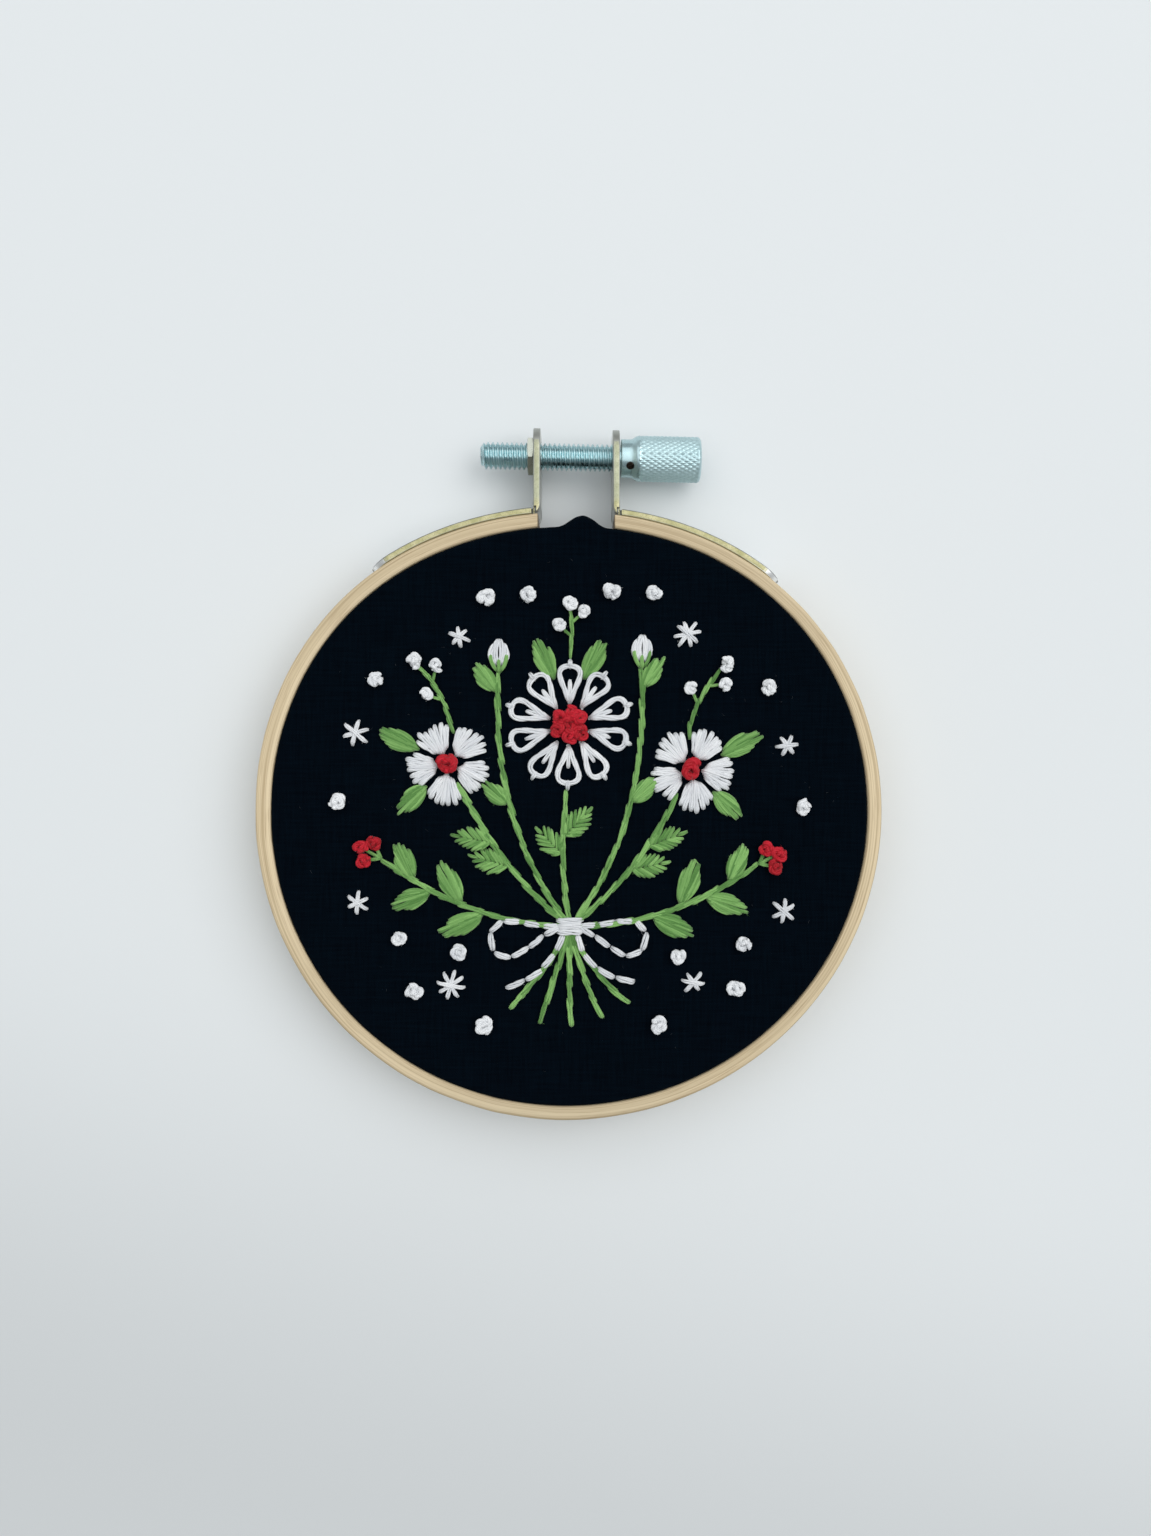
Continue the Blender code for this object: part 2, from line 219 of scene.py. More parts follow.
def path_lengths(points, closed=False):
    """Distance along a path to each of its points, and on to the first where it is closed."""
    points = np.concatenate([points, points[:1]]) if closed else points
    steps = np.linalg.norm(np.diff(points, axis=0), axis=1)
    return np.concatenate([[0], np.cumsum(steps)])


def wave_noise(seed, count, low, high):
    """A smooth random function of an angle, repeating every full turn, about 1 high."""
    rng = np.random.default_rng(seed)
    tones = rng.integers(low, high, count)
    shifts = rng.uniform(0, FULL_TURN, count)
    sizes = rng.uniform(0.4, 1.0, count)
    sizes /= np.sqrt((sizes**2).sum())

    def value(angle):
        return sum(s * np.sin(t * angle + p) for s, t, p in zip(sizes, tones, shifts))

    return value


def grid_faces(rows, columns, closed=False):
    """Faces over rings of points, and the row and column of each face's corners."""
    i, j = np.meshgrid(np.arange(rows if closed else rows - 1), np.arange(columns), indexing="ij")
    corner_rows = np.stack([i, i, i + 1, i + 1], axis=-1).reshape(-1, 4)
    corner_columns = np.stack([j, j + 1, j + 1, j], axis=-1).reshape(-1, 4)
    return (corner_rows % rows) * columns + corner_columns % columns, corner_rows, corner_columns


def fan(first, count, hub):
    """Triangles from a ring of points, the first of which is given, to its hub."""
    ring = np.arange(count)
    return np.stack([first + ring, first + (ring + 1) % count, np.full(count, hub)], axis=1)


def make_object(name, material, points, quads, triangles=np.array([]), uv=(), tone=None):
    """A smooth mesh object. UVs are arrays per face corner, the quads' first, and tone is per point."""
    mesh = bpy.data.meshes.new(name)
    mesh.from_pydata(placed(points), [], [*quads.tolist(), *triangles.tolist()])
    if uv:
        flat = np.concatenate([part.reshape(-1, 2) for part in uv])
        mesh.uv_layers.new(name="along").data.foreach_set("uv", flat.astype(np.float32).ravel())
    if tone is not None:
        mesh.attributes.new("tone", "FLOAT", "POINT").data.foreach_set("value", tone.astype(np.float32))
    mesh.validate()
    mesh.materials.append(material)
    mesh.shade_smooth()
    obj = bpy.data.objects.new(name, mesh)
    bpy.context.scene.collection.objects.link(obj)
    return obj


def turned_out(obj):
    """Makes every face of a closed mesh look outwards."""
    bm = bmesh.new()
    bm.from_mesh(obj.data)
    bmesh.ops.recalc_face_normals(bm, faces=bm.faces)
    bm.to_mesh(obj.data)
    bm.free()
    return obj


def make_closed(name, material, rings, hubs=None, uv=None, end_uv=None, tone=None):
    """A closed mesh over rings of points, with a fan to a hub at each end. uv is given over the
    rings, and end_uv turns the points of the fans into theirs.
    """
    rings = np.asarray(rings)
    rows, columns = rings.shape[:2]
    size = rows * columns
    hubs = (rings[0].mean(0), rings[-1].mean(0)) if hubs is None else hubs
    points = np.concatenate([rings.reshape(-1, 3), hubs])
    quads, corner_rows, corner_columns = grid_faces(rows, columns)
    ends = np.concatenate([fan(0, columns, size), fan(size - columns, columns, size + 1)])
    if uv is not None:
        uv = (uv[corner_rows, corner_columns % uv.shape[1]], end_uv(points[ends]))
    return turned_out(make_object(name, material, points, quads, ends, uv or (), tone))


def smoothed(obj, degrees):
    """Shades obj smooth apart from its edges sharper than the angle."""
    obj.data.shade_smooth()
    obj.data.set_sharp_from_angle(angle=math.radians(degrees))
    return obj


def cut_away(obj, cutters, operation="DIFFERENCE"):
    """Cuts the other meshes out of obj for good, or keeps what they share, and deletes them."""
    for cutter in cutters:
        modifier = obj.modifiers.new("cut", "BOOLEAN")
        modifier.operation = operation
        modifier.solver = "EXACT"
        modifier.object = cutter
    graph = bpy.context.evaluated_depsgraph_get()
    mesh = bpy.data.meshes.new_from_object(obj.evaluated_get(graph))
    obj.modifiers.clear()
    obj.data = mesh
    for cutter in cutters:
        bpy.data.objects.remove(cutter, do_unlink=True)


class Nodes:
    """Short ways to add nodes to a tree. A colour is written without its alpha."""

    def __init__(self, tree):
        self.tree = tree

    def node(self, kind, inputs=None, **settings):
        made = self.tree.nodes.new("ShaderNode" + kind)
        for key, value in settings.items():
            setattr(made, key, value)
        for key, value in (inputs or {}).items():
            self.feed(made.inputs[key], value)
        return made

    def feed(self, socket, value):
        if isinstance(value, bpy.types.NodeSocket):
            self.tree.links.new(value, socket)
        else:
            socket.default_value = (*value, 1) if socket.type == "RGBA" else value

    def math(self, operation, first, second=0.0):
        return self.node("Math", {0: first, 1: second}, operation=operation).outputs[0]

    def add(self, first, second):
        return self.math("ADD", first, second)

    def times(self, first, second):
        return self.math("MULTIPLY", first, second)

    def mix(self, share, first, second):
        return self.node("Mix", {0: share, 6: first, 7: second}, data_type="RGBA").outputs[2]

    def spread(self, value, low, high, to_low=0.0, to_high=1.0, curve="LINEAR"):
        inputs = {0: value, 1: low, 2: high, 3: to_low, 4: to_high}
        return self.node("MapRange", inputs, clamp=True, interpolation_type=curve).outputs[0]

    def vector(self, operation, first, second=(0, 0, 0)):
        return self.node("VectorMath", {0: first, 1: second}, operation=operation).outputs

    def parts(self, vector):
        return self.node("SeparateXYZ", {0: vector}).outputs


class Material(Nodes):
    """A node material under construction."""

    def __init__(self, name, **sockets):
        self.data = bpy.data.materials.new(name)
        self.data.use_nodes = True
        super().__init__(self.data.node_tree)
        self.surface = self.tree.nodes["Principled BSDF"]
        for socket, value in sockets.items():
            self.set(socket.replace("_", " "), value)

    def set(self, socket, value):
        self.feed(self.surface.inputs[socket], value)

    def noise(self, vector, scale, detail, roughness=0.5):
        inputs = {"Vector": vector, "Scale": scale, "Detail": detail, "Roughness": roughness}
        return self.node("TexNoise", inputs).outputs[0]

    def streaks(self, along, across, detail, roughness=0.5):
        """Noise over the UVs, with its own scale each way."""
        vector = self.vector("MULTIPLY", self.along(), (along, across, 1))[0]
        return self.noise(vector, 1.0, detail, roughness)

    def place(self):
        return self.node("TexCoord").outputs["Object"]

    def along(self):
        return self.node("UVMap", uv_map="along").outputs[0]

    def tone(self):
        return self.node("Attribute", attribute_name="tone").outputs["Fac"]

    def true_normal(self):
        return self.node("NewGeometry").outputs["True Normal"]

    def bump(self, height, distance, strength):
        inputs = {"Height": height, "Distance": distance, "Strength": strength}
        self.set("Normal", self.node("Bump", inputs).outputs[0])


def bamboo_material(name, light, dark):
    """Sanded bamboo: fine fibres along the strip, broader bands and short dark vessels."""
    made = Material(name, Specular_IOR_Level=0.35)
    fibres = made.streaks(26, 3300, 3.0, 0.6)
    share = made.spread(fibres, 0.3, 0.7, 0.0, 0.40)
    share = made.add(share, made.spread(made.streaks(7, 620, 2.0), 0.32, 0.68, 0.0, 0.52))
    share = made.add(share, made.spread(made.streaks(60, 60, 2.0), 0.3, 0.7, 0.0, 0.16))
    colour = made.mix(share, dark, light)
    # Growth lines run nearly all the way round.
    nearness = made.math("ABSOLUTE", made.math("SUBTRACT", made.streaks(5, 2300, 1.0, 0.4), 0.5))
    colour = made.mix(made.spread(nearness, 0.012, 0.05, 0.5, 0.0), colour, (0.36, 0.26, 0.14))
    vessels = made.spread(made.streaks(150, 4300, 1.0), 0.62, 0.72, 0.0, 0.45)
    colour = made.mix(vessels, colour, (0.34, 0.23, 0.12))
    # Painted light and shade: paler sides, darker foot. Sawn ends: dark end grain plus painted shade.
    height = made.parts(made.place())[1]
    level = made.math("ABSOLUTE", made.math("SUBTRACT", height, HOOP_CENTRE_Y * MM))
    foot_shade = made.spread(height, (HOOP_CENTRE_Y - 38) * MM, (HOOP_CENTRE_Y - 45) * MM, 0.0, -0.13)
    side_light_and_foot_shade = made.add(made.spread(level, 0.004, 0.026, 1.13, 1.01), foot_shade)
    colour = made.vector("MULTIPLY", colour, side_light_and_foot_shade)[0]
    # Painted shade: the sawn ends are darkened beyond their end grain, for the shade in the split.
    made.set("Base Color", made.mix(made.times(made.tone(), 0.85), colour, (0.17, 0.125, 0.08)))
    made.set("Roughness", made.spread(fibres, 0.25, 0.75, 0.5, 0.68))
    made.bump(fibres, 0.00009, 0.55)
    return made.data


def cotton_material():
    """Black plain-weave cotton: two sets of threads, uneven thread by thread, with a dull sheen."""
    made = Material(
        "cotton_black", Roughness=0.93, Specular_IOR_Level=0.024,
        Sheen_Weight=0.015, Sheen_Roughness=0.5, Sheen_Tint=(0.62, 0.78, 1.0),
    )
    threads = FULL_TURN / THREAD_PAIR
    across, up = made.parts(made.vector("MULTIPLY", made.along(), (threads, threads, 1))[0])[:2]
    slow_across = made.streaks(2700, 170, 2.0, 0.6)
    slow_up = made.streaks(170, 2700, 2.0, 0.6)
    warp = made.math("SINE", made.add(across, made.times(slow_up, 2.5)))
    weft = made.math("SINE", made.add(up, made.times(slow_across, 2.5)))
    over = made.times(warp, weft)
    slubs = made.add(slow_across, slow_up)
    share = made.add(made.spread(over, -1.0, 1.0, 0.0, 0.45), made.spread(slubs, 0.7, 1.3, 0.0, 0.55))
    made.set("Base Color", made.mix(share, (0.0001, 0.0008, 0.0022), (0.0012, 0.0046, 0.0092)))
    made.bump(made.add(over, made.times(slubs, 2.2)), 0.00006, 0.7)
    return made.data


def floss_material(name, deep, light, sheen, roughness=0.72):
    """Cotton floss: twisted fibres along each strand, and each stitch a little lighter or darker."""
    made = Material(
        name, Roughness=roughness, Specular_IOR_Level=0.25, Sheen_Weight=sheen, Sheen_Roughness=0.4
    )
    along, around = made.parts(made.along())[:2]
    twist = made.math("SINE", made.times(made.add(made.times(along, 2.6), around), 4 * FULL_TURN))
    fibres = made.streaks(4, 22, 3.0, 0.65)
    share = made.add(made.spread(fibres, 0.3, 0.7, 0.0, 0.35), made.spread(made.tone(), 0.0, 1.0, 0.0, 0.65))
    made.set("Base Color", made.mix(share, deep, light))
    made.bump(made.add(made.times(twist, 0.5), fibres), 0.00003, 0.5)
    return made.data


def zinc_plating(name, dark, light):
    """A bright zinc material under construction, with its cloudy colour and its roughness."""
    made = Material(name)
    clouds = made.noise(made.place(), 420, 3.0, 0.6)
    made.bump(made.noise(made.place(), 3800, 2.0), 0.00001, 0.5)
    return made, made.mix(clouds, dark, light), made.spread(clouds, 0.3, 0.7, 0.2, 0.36)


def screw_material():
    """Blue zinc, duller on the knurls, with painted shade inside the collar's pin hole."""
    made, colour, polish = zinc_plating("zinc_blue", (0.42, 0.60, 0.63), (0.57, 0.745, 0.77))
    x, y, z = made.parts(made.place())[:3]
    # Painted shade: the inside of the pin hole is painted dark.
    across = made.math("SUBTRACT", y, (axis_y(PIN_HOLE_X) + HOOP_CENTRE_Y) * MM)
    above = made.math("SUBTRACT", z, SCREW_Z * MM)
    squares = made.add(made.math("POWER", across, 2.0), made.math("POWER", above, 2.0))
    within = made.spread(
        made.math("SQRT", squares), (COLLAR_RADIUS - 0.12) * MM, (COLLAR_RADIUS - 0.3) * MM
    )
    beyond = made.spread(x, (COLLAR_START_X + 0.1) * MM, (COLLAR_START_X + 0.2) * MM)
    before = made.spread(x, (HEAD_END_X - 1.0) * MM, (HEAD_END_X - 0.9) * MM, 1.0, 0.0)
    pin_hole_shade = made.times(made.times(within, beyond), before)
    made.set("Base Color", made.mix(pin_hole_shade, colour, (0.34, 0.30, 0.27)))
    knurls = (x, CONE_END_X * MM, (CONE_END_X + 0.6) * MM)
    made.set("Roughness", made.add(polish, made.spread(*knurls, 0.0, 0.06)))
    made.set("Metallic", made.spread(*knurls, 1.0, 0.55))
    return made.data


def nut_material():
    """Pale zinc, with painted shade on the facets that are turned towards the hoop."""
    made, colour, polish = zinc_plating("zinc_nut", (0.57, 0.595, 0.51), (0.66, 0.68, 0.595))
    # Painted shade: facets that face towards the hoop are darkened.
    painted_facet_shade = made.spread(made.parts(made.true_normal())[1], 0.05, -0.1, 0.0, 0.75)
    made.set("Base Color", made.mix(painted_facet_shade, colour, (0.20, 0.205, 0.16)))
    made.set("Roughness", polish)
    made.set("Metallic", 0.8)
    return made.data


def bracket_material():
    """Sheared edges that face up or down are yellow-green and pitted, and the faces are grey zinc."""
    made = Material("zinc_yellow", Metallic=0.75, Specular_IOR_Level=0.3)
    place = made.place()
    normal = made.true_normal()
    x, y = made.parts(place)[:2]
    upward = made.math("ABSOLUTE", made.parts(normal)[2])
    sideways = made.math("ABSOLUTE", x)
    sheared = made.spread(upward, 0.955, 0.988)
    strap = made.spread(y, (HOOP_CENTRE_Y + 43.6) * MM, (HOOP_CENTRE_Y + 44.8) * MM, 1.0, 0.0)
    clouds = made.noise(place, 700, 3.0, 0.6)
    pits = made.times(made.spread(made.noise(place, 5200, 2.0, 0.55), 0.52, 0.66), sheared)
    cloudy = made.spread(clouds, 0.35, 0.65)
    pale = made.mix(cloudy, (0.39, 0.405, 0.265), (0.54, 0.55, 0.40))
    strong = made.mix(cloudy, (0.435, 0.415, 0.21), (0.60, 0.56, 0.335))
    yellow = made.mix(strap, pale, strong)
    grey = made.mix(clouds, (0.30, 0.31, 0.28), (0.44, 0.45, 0.42))
    grey = made.mix(made.spread(upward, 0.25, 0.05), grey, (0.56, 0.565, 0.52))
    # Painted highlight: the plating is near-white far out to either side, at the strap's ends.
    painted_tip_highlight = made.mix(clouds, (0.86, 0.88, 0.88), (0.97, 0.98, 0.98))
    plated = made.mix(made.spread(sideways, 0.0255, 0.0275), grey, painted_tip_highlight)
    # Painted shade and reflection: the strap's rolled edge is dark outside and round the tip, yellow inside.
    from_centre = made.vector("ADD", place, (0, -HOOP_CENTRE_Y * MM, 0))[0]
    outward = made.vector("DOT_PRODUCT", made.vector("NORMALIZE", from_centre)[0], normal)["Value"]
    rolled_edge_shade = made.times(made.spread(outward, 0.2, 0.6), made.spread(upward, 0.05, 0.2))
    endwise = made.spread(made.math("ABSOLUTE", outward), 0.5, 0.3)
    tip = made.times(made.spread(upward, 0.45, 0.3), endwise)
    rim = made.times(made.math("MAXIMUM", rolled_edge_shade, tip), strap)
    plated = made.mix(rim, plated, (0.15, 0.155, 0.145))
    inside = made.times(made.spread(outward, -0.1, -0.3), strap)
    inside = made.times(inside, made.spread(upward, 0.1, 0.25))
    colour = made.mix(made.math("MAXIMUM", sheared, inside), plated, yellow)
    made.set("Base Color", made.mix(made.times(pits, 0.42), colour, (0.20, 0.20, 0.11)))
    made.set("Roughness", made.spread(sheared, 0.0, 1.0, 0.3, 0.5))
    made.bump(made.math("SUBTRACT", made.times(clouds, 0.6), pits), 0.00003, 0.45)
    return made.data


def floor_material():
    """A pale sheet of paper, with painted shade towards the lower left."""
    made = Material("floor_pale", Roughness=0.9, Specular_IOR_Level=0.1)
    place = made.place()
    pale = made.mix(made.noise(place, 9, 3.0), (0.785, 0.812, 0.822), (0.80, 0.828, 0.838))
    x, y = made.parts(place)[:2]
    # Painted shade: the paper darkens towards the lower left.
    corner = made.spread(made.add(y, made.times(x, 0.278)), -0.036, -0.126, curve="SMOOTHSTEP")
    made.set("Base Color", made.mix(corner, pale, (0.645, 0.667, 0.674)))
    return made.data


def arc(x, y, radius, degrees):
    """Points on a circle about (x, y)."""
    turns = np.radians(degrees)
    return np.stack([x + radius * np.cos(turns), y + radius * np.sin(turns)], axis=1)


def quarter(x, y, radius, start, steps):
    return arc(x, y, radius, np.linspace(start, start + 90, steps + 1))


def section_outline(inset, thickness, low, high, rounding, corner_steps, across_steps, up_steps):
    """Closed outline (inset, z) of a strip's section with rounded corners and divided sides."""
    near, far = inset + rounding, inset + thickness - rounding
    bottom, top = low + rounding, high - rounding
    places = ((far, top, 0), (near, top, 90), (near, bottom, 180), (far, bottom, 270))
    corners = [quarter(x, z, rounding, start, corner_steps) for x, z, start in places]
    points = []
    for index, corner in enumerate(corners):
        following = corners[(index + 1) % 4]
        steps = up_steps if index % 2 else across_steps
        shares = (np.arange(1, steps) / steps)[:, None]
        points += [corner, corner[-1] + shares * (following[0] - corner[-1])]
    return np.concatenate(points)


def wood_surface(angles, outline, seed):
    """Points of a hoop section by section, a little uneven as a steamed and sanded strip is."""
    angles = angles[:, None]
    insets, heights = outline.T
    in_waves = np.abs(WOOD_UNEVENNESS * wave_noise(seed, 7, 3, 26)(angles))
    up_waves = np.abs(WOOD_UNEVENNESS * wave_noise(seed + 1, 7, 3, 22)(angles))
    middle = (heights.max() + heights.min()) / 2
    share = (heights - middle) / (heights.max() - middle)
    return polar(angles, rim_radius(angles, insets + in_waves), heights - up_waves * share)


def uv_grid(along, around):
    return np.stack(np.meshgrid(along, around, indexing="ij"), axis=-1) * MM


def build_outer_hoop(material):
    """The split hoop runs clockwise from the split's right end round to its left end."""
    outline = section_outline(0, WOOD_THICKNESS, 0, HOOP_DEPTH, WOOD_ROUNDING, 4, 3, 7)
    room = SPLIT_ROOM / HOOP_RADIUS
    first = rim_angle_at(SPLIT_RIGHT_X, WOOD_THICKNESS / 2) + room
    last = FULL_TURN + rim_angle_at(SPLIT_LEFT_X, WOOD_THICKNESS / 2) - room
    angles = np.linspace(first, last, OUTER_SECTIONS)
    # Both ends are sawn square across the split, with a slightly broken edge.
    ends = []
    for x, edge in (
        (SPLIT_RIGHT_X, SPLIT_EDGE), (SPLIT_RIGHT_X + SPLIT_EDGE, 0),
        (SPLIT_LEFT_X - SPLIT_EDGE, 0), (SPLIT_LEFT_X, SPLIT_EDGE),
    ):
        section = section_outline(
            edge, WOOD_THICKNESS - 2 * edge, edge, HOOP_DEPTH - edge, WOOD_ROUNDING, 4, 3, 7
        )
        ends.append([(x, rim_y_at(x, inset), z) for inset, z in section])
    rings = np.concatenate([ends[:2], wood_surface(angles, outline, 11), ends[2:]])
    along = SPLIT_ROOM + (angles - first) * HOOP_RADIUS
    along = np.concatenate([[0, EDGE_GRAIN], along, along[-1] + [SPLIT_ROOM - EDGE_GRAIN, SPLIT_ROOM]])
    # The sawn end rings get a tone that darkens them: end grain plus painted shade.
    end_grain_and_shade = np.zeros(rings.size // 3 + 2)
    end_grain_and_shade[:len(outline)] = 1
    end_grain_and_shade[-len(outline) - 2:] = 1
    obj = make_closed(
        "outer_hoop_wood", material, rings, uv=uv_grid(along, path_lengths(outline, closed=True)),
        end_uv=lambda points: points[..., 1:] * (END_GRAIN_SCALE * MM, MM), tone=end_grain_and_shade,
    )
    return smoothed(obj, 40)


def build_inner_hoop(material):
    outline = section_outline(INNER_INSET, WOOD_THICKNESS, INNER_LOW, INNER_HIGH, INNER_ROUNDING, 3, 2, 6)
    turns = np.arange(INNER_SECTIONS + 1) * FULL_TURN / INNER_SECTIONS
    rings = wood_surface(INNER_SEAM + turns[:-1], outline, 23)
    faces, corner_rows, corner_columns = grid_faces(len(rings), len(outline), closed=True)
    uv = uv_grid(turns * (HOOP_RADIUS - 4), path_lengths(outline, closed=True))
    uv = (uv[corner_rows, corner_columns],)
    return turned_out(make_object("inner_hoop_wood", material, rings.reshape(-1, 3), faces, uv=uv))


def bulge(angle):
    """How far the cloth stands out through the split at this angle."""
    x = rim_radius(angle, WALL) * np.sin(angle)
    share = np.clip((x - BULGE_X) / BULGE_HALF_WIDTH, -1, 1)
    out = BULGE_HEIGHT * np.cos(share * math.pi / 2) ** 2
    return np.where(np.cos(angle) < 0, 0.0, out)


def cloth_angles():
    """Angles of the cloth's mesh, closer together where it bulges out through the split."""
    reach = BULGE_HALF_WIDTH + 0.8
    low = rim_angle_at(BULGE_X - reach, WALL)
    high = rim_angle_at(BULGE_X + reach, WALL)
    fine = np.linspace(low, high, BULGE_ANGLES, endpoint=False)
    coarse = np.linspace(high, FULL_TURN + low, CLOTH_ANGLES, endpoint=False)
    return np.concatenate([fine, coarse])


def front_relief(x, y, holes=()):
    """The front's height over its plane: taut but not perfect, and dimpled where thread goes in."""
    share = np.hypot(x, y) / HOOP_RADIUS
    relief = 0.05 * share**2 * wave_noise(31, 6, 2, 9)(np.arctan2(x, y))
    relief = relief + 0.025 * np.sin(0.21 * x + 0.9) * np.sin(0.17 * y + 0.2) - FRONT_SAG
    if len(holes):
        dimple = np.zeros_like(relief)
        pull = np.zeros_like(relief)
        for chunk in np.array_split(holes, max(1, len(holes) // 100)):
            apart = (x[..., None] - chunk[:, 0]) ** 2 + (y[..., None] - chunk[:, 1]) ** 2
            dimple += np.exp(-apart / (2 * DIMPLE_RADIUS**2)).sum(-1)
            pull += np.exp(-apart / (2 * PULL_RADIUS**2)).sum(-1)
        relief = relief - DIMPLE_DEPTH * np.minimum(dimple, 1.3) - PULL_DEPTH * np.minimum(pull, 2.0)
    return relief


def gathers(angle, share):
    """Height of the margin's gathers over the table, by the share of the way to its raw edge."""
    share = np.clip((share - MARGIN_FLAT_SHARE) / (1 - MARGIN_FLAT_SHARE), 0, 1)
    wander = 0.5 * wave_noise(41, 5, 2, 8)(angle)
    first = 0.5 + 0.5 * np.cos(MARGIN_PLEATS * angle + wander)
    second = 0.5 + 0.5 * np.cos(2 * MARGIN_PLEATS * angle + 1.3 + 2 * wander)
    height = 0.62 + 0.25 * wave_noise(43, 5, 3, 12)(angle)
    grown = np.minimum(1.0, share * 1.5) ** 1.4
    return 0.03 + grown * height * (first**1.5 + 0.28 * second * share)


def cloth_front(angle, out, holes):
    """Rows (radius, height, weave's length) from the first ring about the middle to the edge."""
    edge = rim_radius(angle, CLOTH_NEAR)
    rows = []
    for share in np.linspace(0, 1, FRONT_RINGS + 1)[1:] ** 0.9:
        radius = share * (edge + out * share**12)
        relief = front_relief(radius * np.sin(angle), radius * np.cos(angle), holes)
        rows.append((radius, FRONT + relief * (1 - share**40), radius))
    return rows


def cloth_wall(angle, out):
    """Rows down the outside of the wall, from its rounded upper corner round the lower one."""
    creases = np.abs(wave_noise(51, 6, 40, 110)(angle) * (0.05 + 0.05 * out))
    low = CLOTH_ROUNDING
    high = FRONT - CLOTH_ROUNDING
    upper = quarter(CLOTH_NEAR, high, CLOTH_ROUNDING, 90, 4)[1:]
    lower = quarter(CLOTH_NEAR, low, CLOTH_ROUNDING, 180, 3)[1:]
    path = [(inset, z, UPPER_STEP, 1.0) for inset, z in upper]
    for share in np.linspace(0, 1, WALL_RINGS + 1)[1:]:
        drop = share * (low - high)
        path.append((WALL, high + drop, (high - low) / WALL_RINGS, 1 + share * (BULGE_BACK_SHARE - 1)))
    path += [(inset, z, LOWER_STEP, BULGE_BACK_SHARE) for inset, z in lower]
    length = rim_radius(angle, CLOTH_NEAR)
    rows = []
    for inset, z, step, share in path:
        length = length + step
        rows.append((rim_radius(angle, inset) + share * out - creases, z, length))
    return rows


def cloth_margin(angle, length):
    """Rows in along the table to the margin's raw edge, and back out on its upper side."""
    end = MARGIN_END + 0.35 * wave_noise(47, 8, 10, 60)(angle)
    rows = []
    for share in np.linspace(0, 1, MARGIN_RINGS + 1):
        radius = rim_radius(angle, CLOTH_NEAR + share * (end - CLOTH_NEAR))
        rows.append((radius, gathers(angle, share), length + share * MARGIN_WIDTH))
    radius, z, along = rows[-1]
    edge = (radius - 0.12, z + SHEET / 2, along)
    return [*rows[1:], edge, *[(radius, z + SHEET, along) for radius, z, along in rows[::-1]]]


def cloth_inside(angle, out, length):
    """Rows up the inside of the wall and over the front's underside to its middle."""
    rows = []
    for share in np.linspace(0, 1, WALL_RINGS + 1):
        z = SHEET + 0.35 + share * (FRONT - 2 * SHEET - 0.7)
        outward = (BULGE_BACK_SHARE + share * (1 - BULGE_BACK_SHARE)) * out
        rows.append((rim_radius(angle, WALL + SHEET) + outward, z, length - share * INSIDE_RISE))
    for share in np.linspace(1, 0, UNDER_RINGS + 1)[:-1]:
        radius = share * (rim_radius(angle, WALL + SHEET + 0.3) + out * share**12)
        relief = front_relief(radius * np.sin(angle), radius * np.cos(angle))
        rows.append((radius, UNDERSIDE + relief * (1 - share**12), radius))
    return rows


def build_cloth(material, holes):
    """One sheet: the front, the wall between the hoops, and the gathered margin turned in behind."""
    angle = cloth_angles()
    out = bulge(angle)
    rows = cloth_front(angle, out, holes) + cloth_wall(angle, out)
    at_foot = rows[-1][2]
    rows += cloth_margin(angle, at_foot) + cloth_inside(angle, out, at_foot)
    rings = [polar(angle, radius, z) for radius, z, _ in rows]
    flat = polar(angle, np.array([length for _, _, length in rows]), 0)[..., :2] * MM
    hubs = ((0, 0, FRONT - FRONT_SAG), (0, 0, UNDERSIDE - FRONT_SAG))
    return make_closed(
        "cloth_sheet", material, rings, hubs, flat, end_uv=lambda points: points[..., :2] * MM
    )


def rings_about(centres, radii, side, up, sides):
    """Rings of points about the points of lines, in the plane of the directions side and up."""
    turn = np.arange(sides)[:, None] * FULL_TURN / sides
    around = np.cos(turn) * side[:, None] + np.sin(turn) * up[:, None]
    return centres[..., None, :] + radii[..., None, None] * around


def cylinder(material, radius, start, end, sides=48):
    """A closed cylinder between two points, to cut with. It doesn't run along y."""
    axis = np.subtract(end, start) / np.linalg.norm(np.subtract(end, start))
    side = np.cross(axis, (0, 1, 0))
    side /= np.linalg.norm(side)
    directions = np.tile(side, (2, 1)), np.tile(np.cross(axis, side), (2, 1))
    rings = rings_about(np.array([start, end]), np.full(2, radius), *directions, sides)
    return make_closed("cylinder", material, rings)


def bore_at(material, x):
    """A cutter for the hole that the screw goes through at x."""
    return cylinder(material, BORE_RADIUS, (x - 2, axis_y(x), SCREW_Z), (x + 2, axis_y(x), SCREW_Z))


def notch_at(material, x, up):
    """A cutter for the relief notch in the sheet's upper or lower edge: a slot with a round bottom."""
    z = HOOP_DEPTH / 2 + up * (BRACKET_WIDTH / 2 - NOTCH_DEPTH + NOTCH_RADIUS)
    open_end = HOOP_DEPTH / 2 + up * (BRACKET_WIDTH / 2 + 1)
    outline = list(arc(x, z, NOTCH_RADIUS, -up * np.linspace(0, 180, 13)))
    outline += [(x - NOTCH_RADIUS, open_end), (x + NOTCH_RADIUS, open_end)]
    rim = rim_y_at(x, 0)
    ends = (rim - NOTCH_BELOW, rim + NOTCH_ABOVE)
    return make_closed("notch", material, [[(px, y, pz) for px, pz in outline] for y in ends])


def ear_middle(side):
    return EAR_INNER_X[side] + side * EAR_THICKNESS / 2


def plate_half_width(distance):
    """Half the strip's width at a distance from its end, whose two corners are rounded."""
    short = max(0.0, BRACKET_CORNER - distance)
    return BRACKET_WIDTH / 2 - BRACKET_CORNER + math.sqrt(BRACKET_CORNER**2 - short**2)


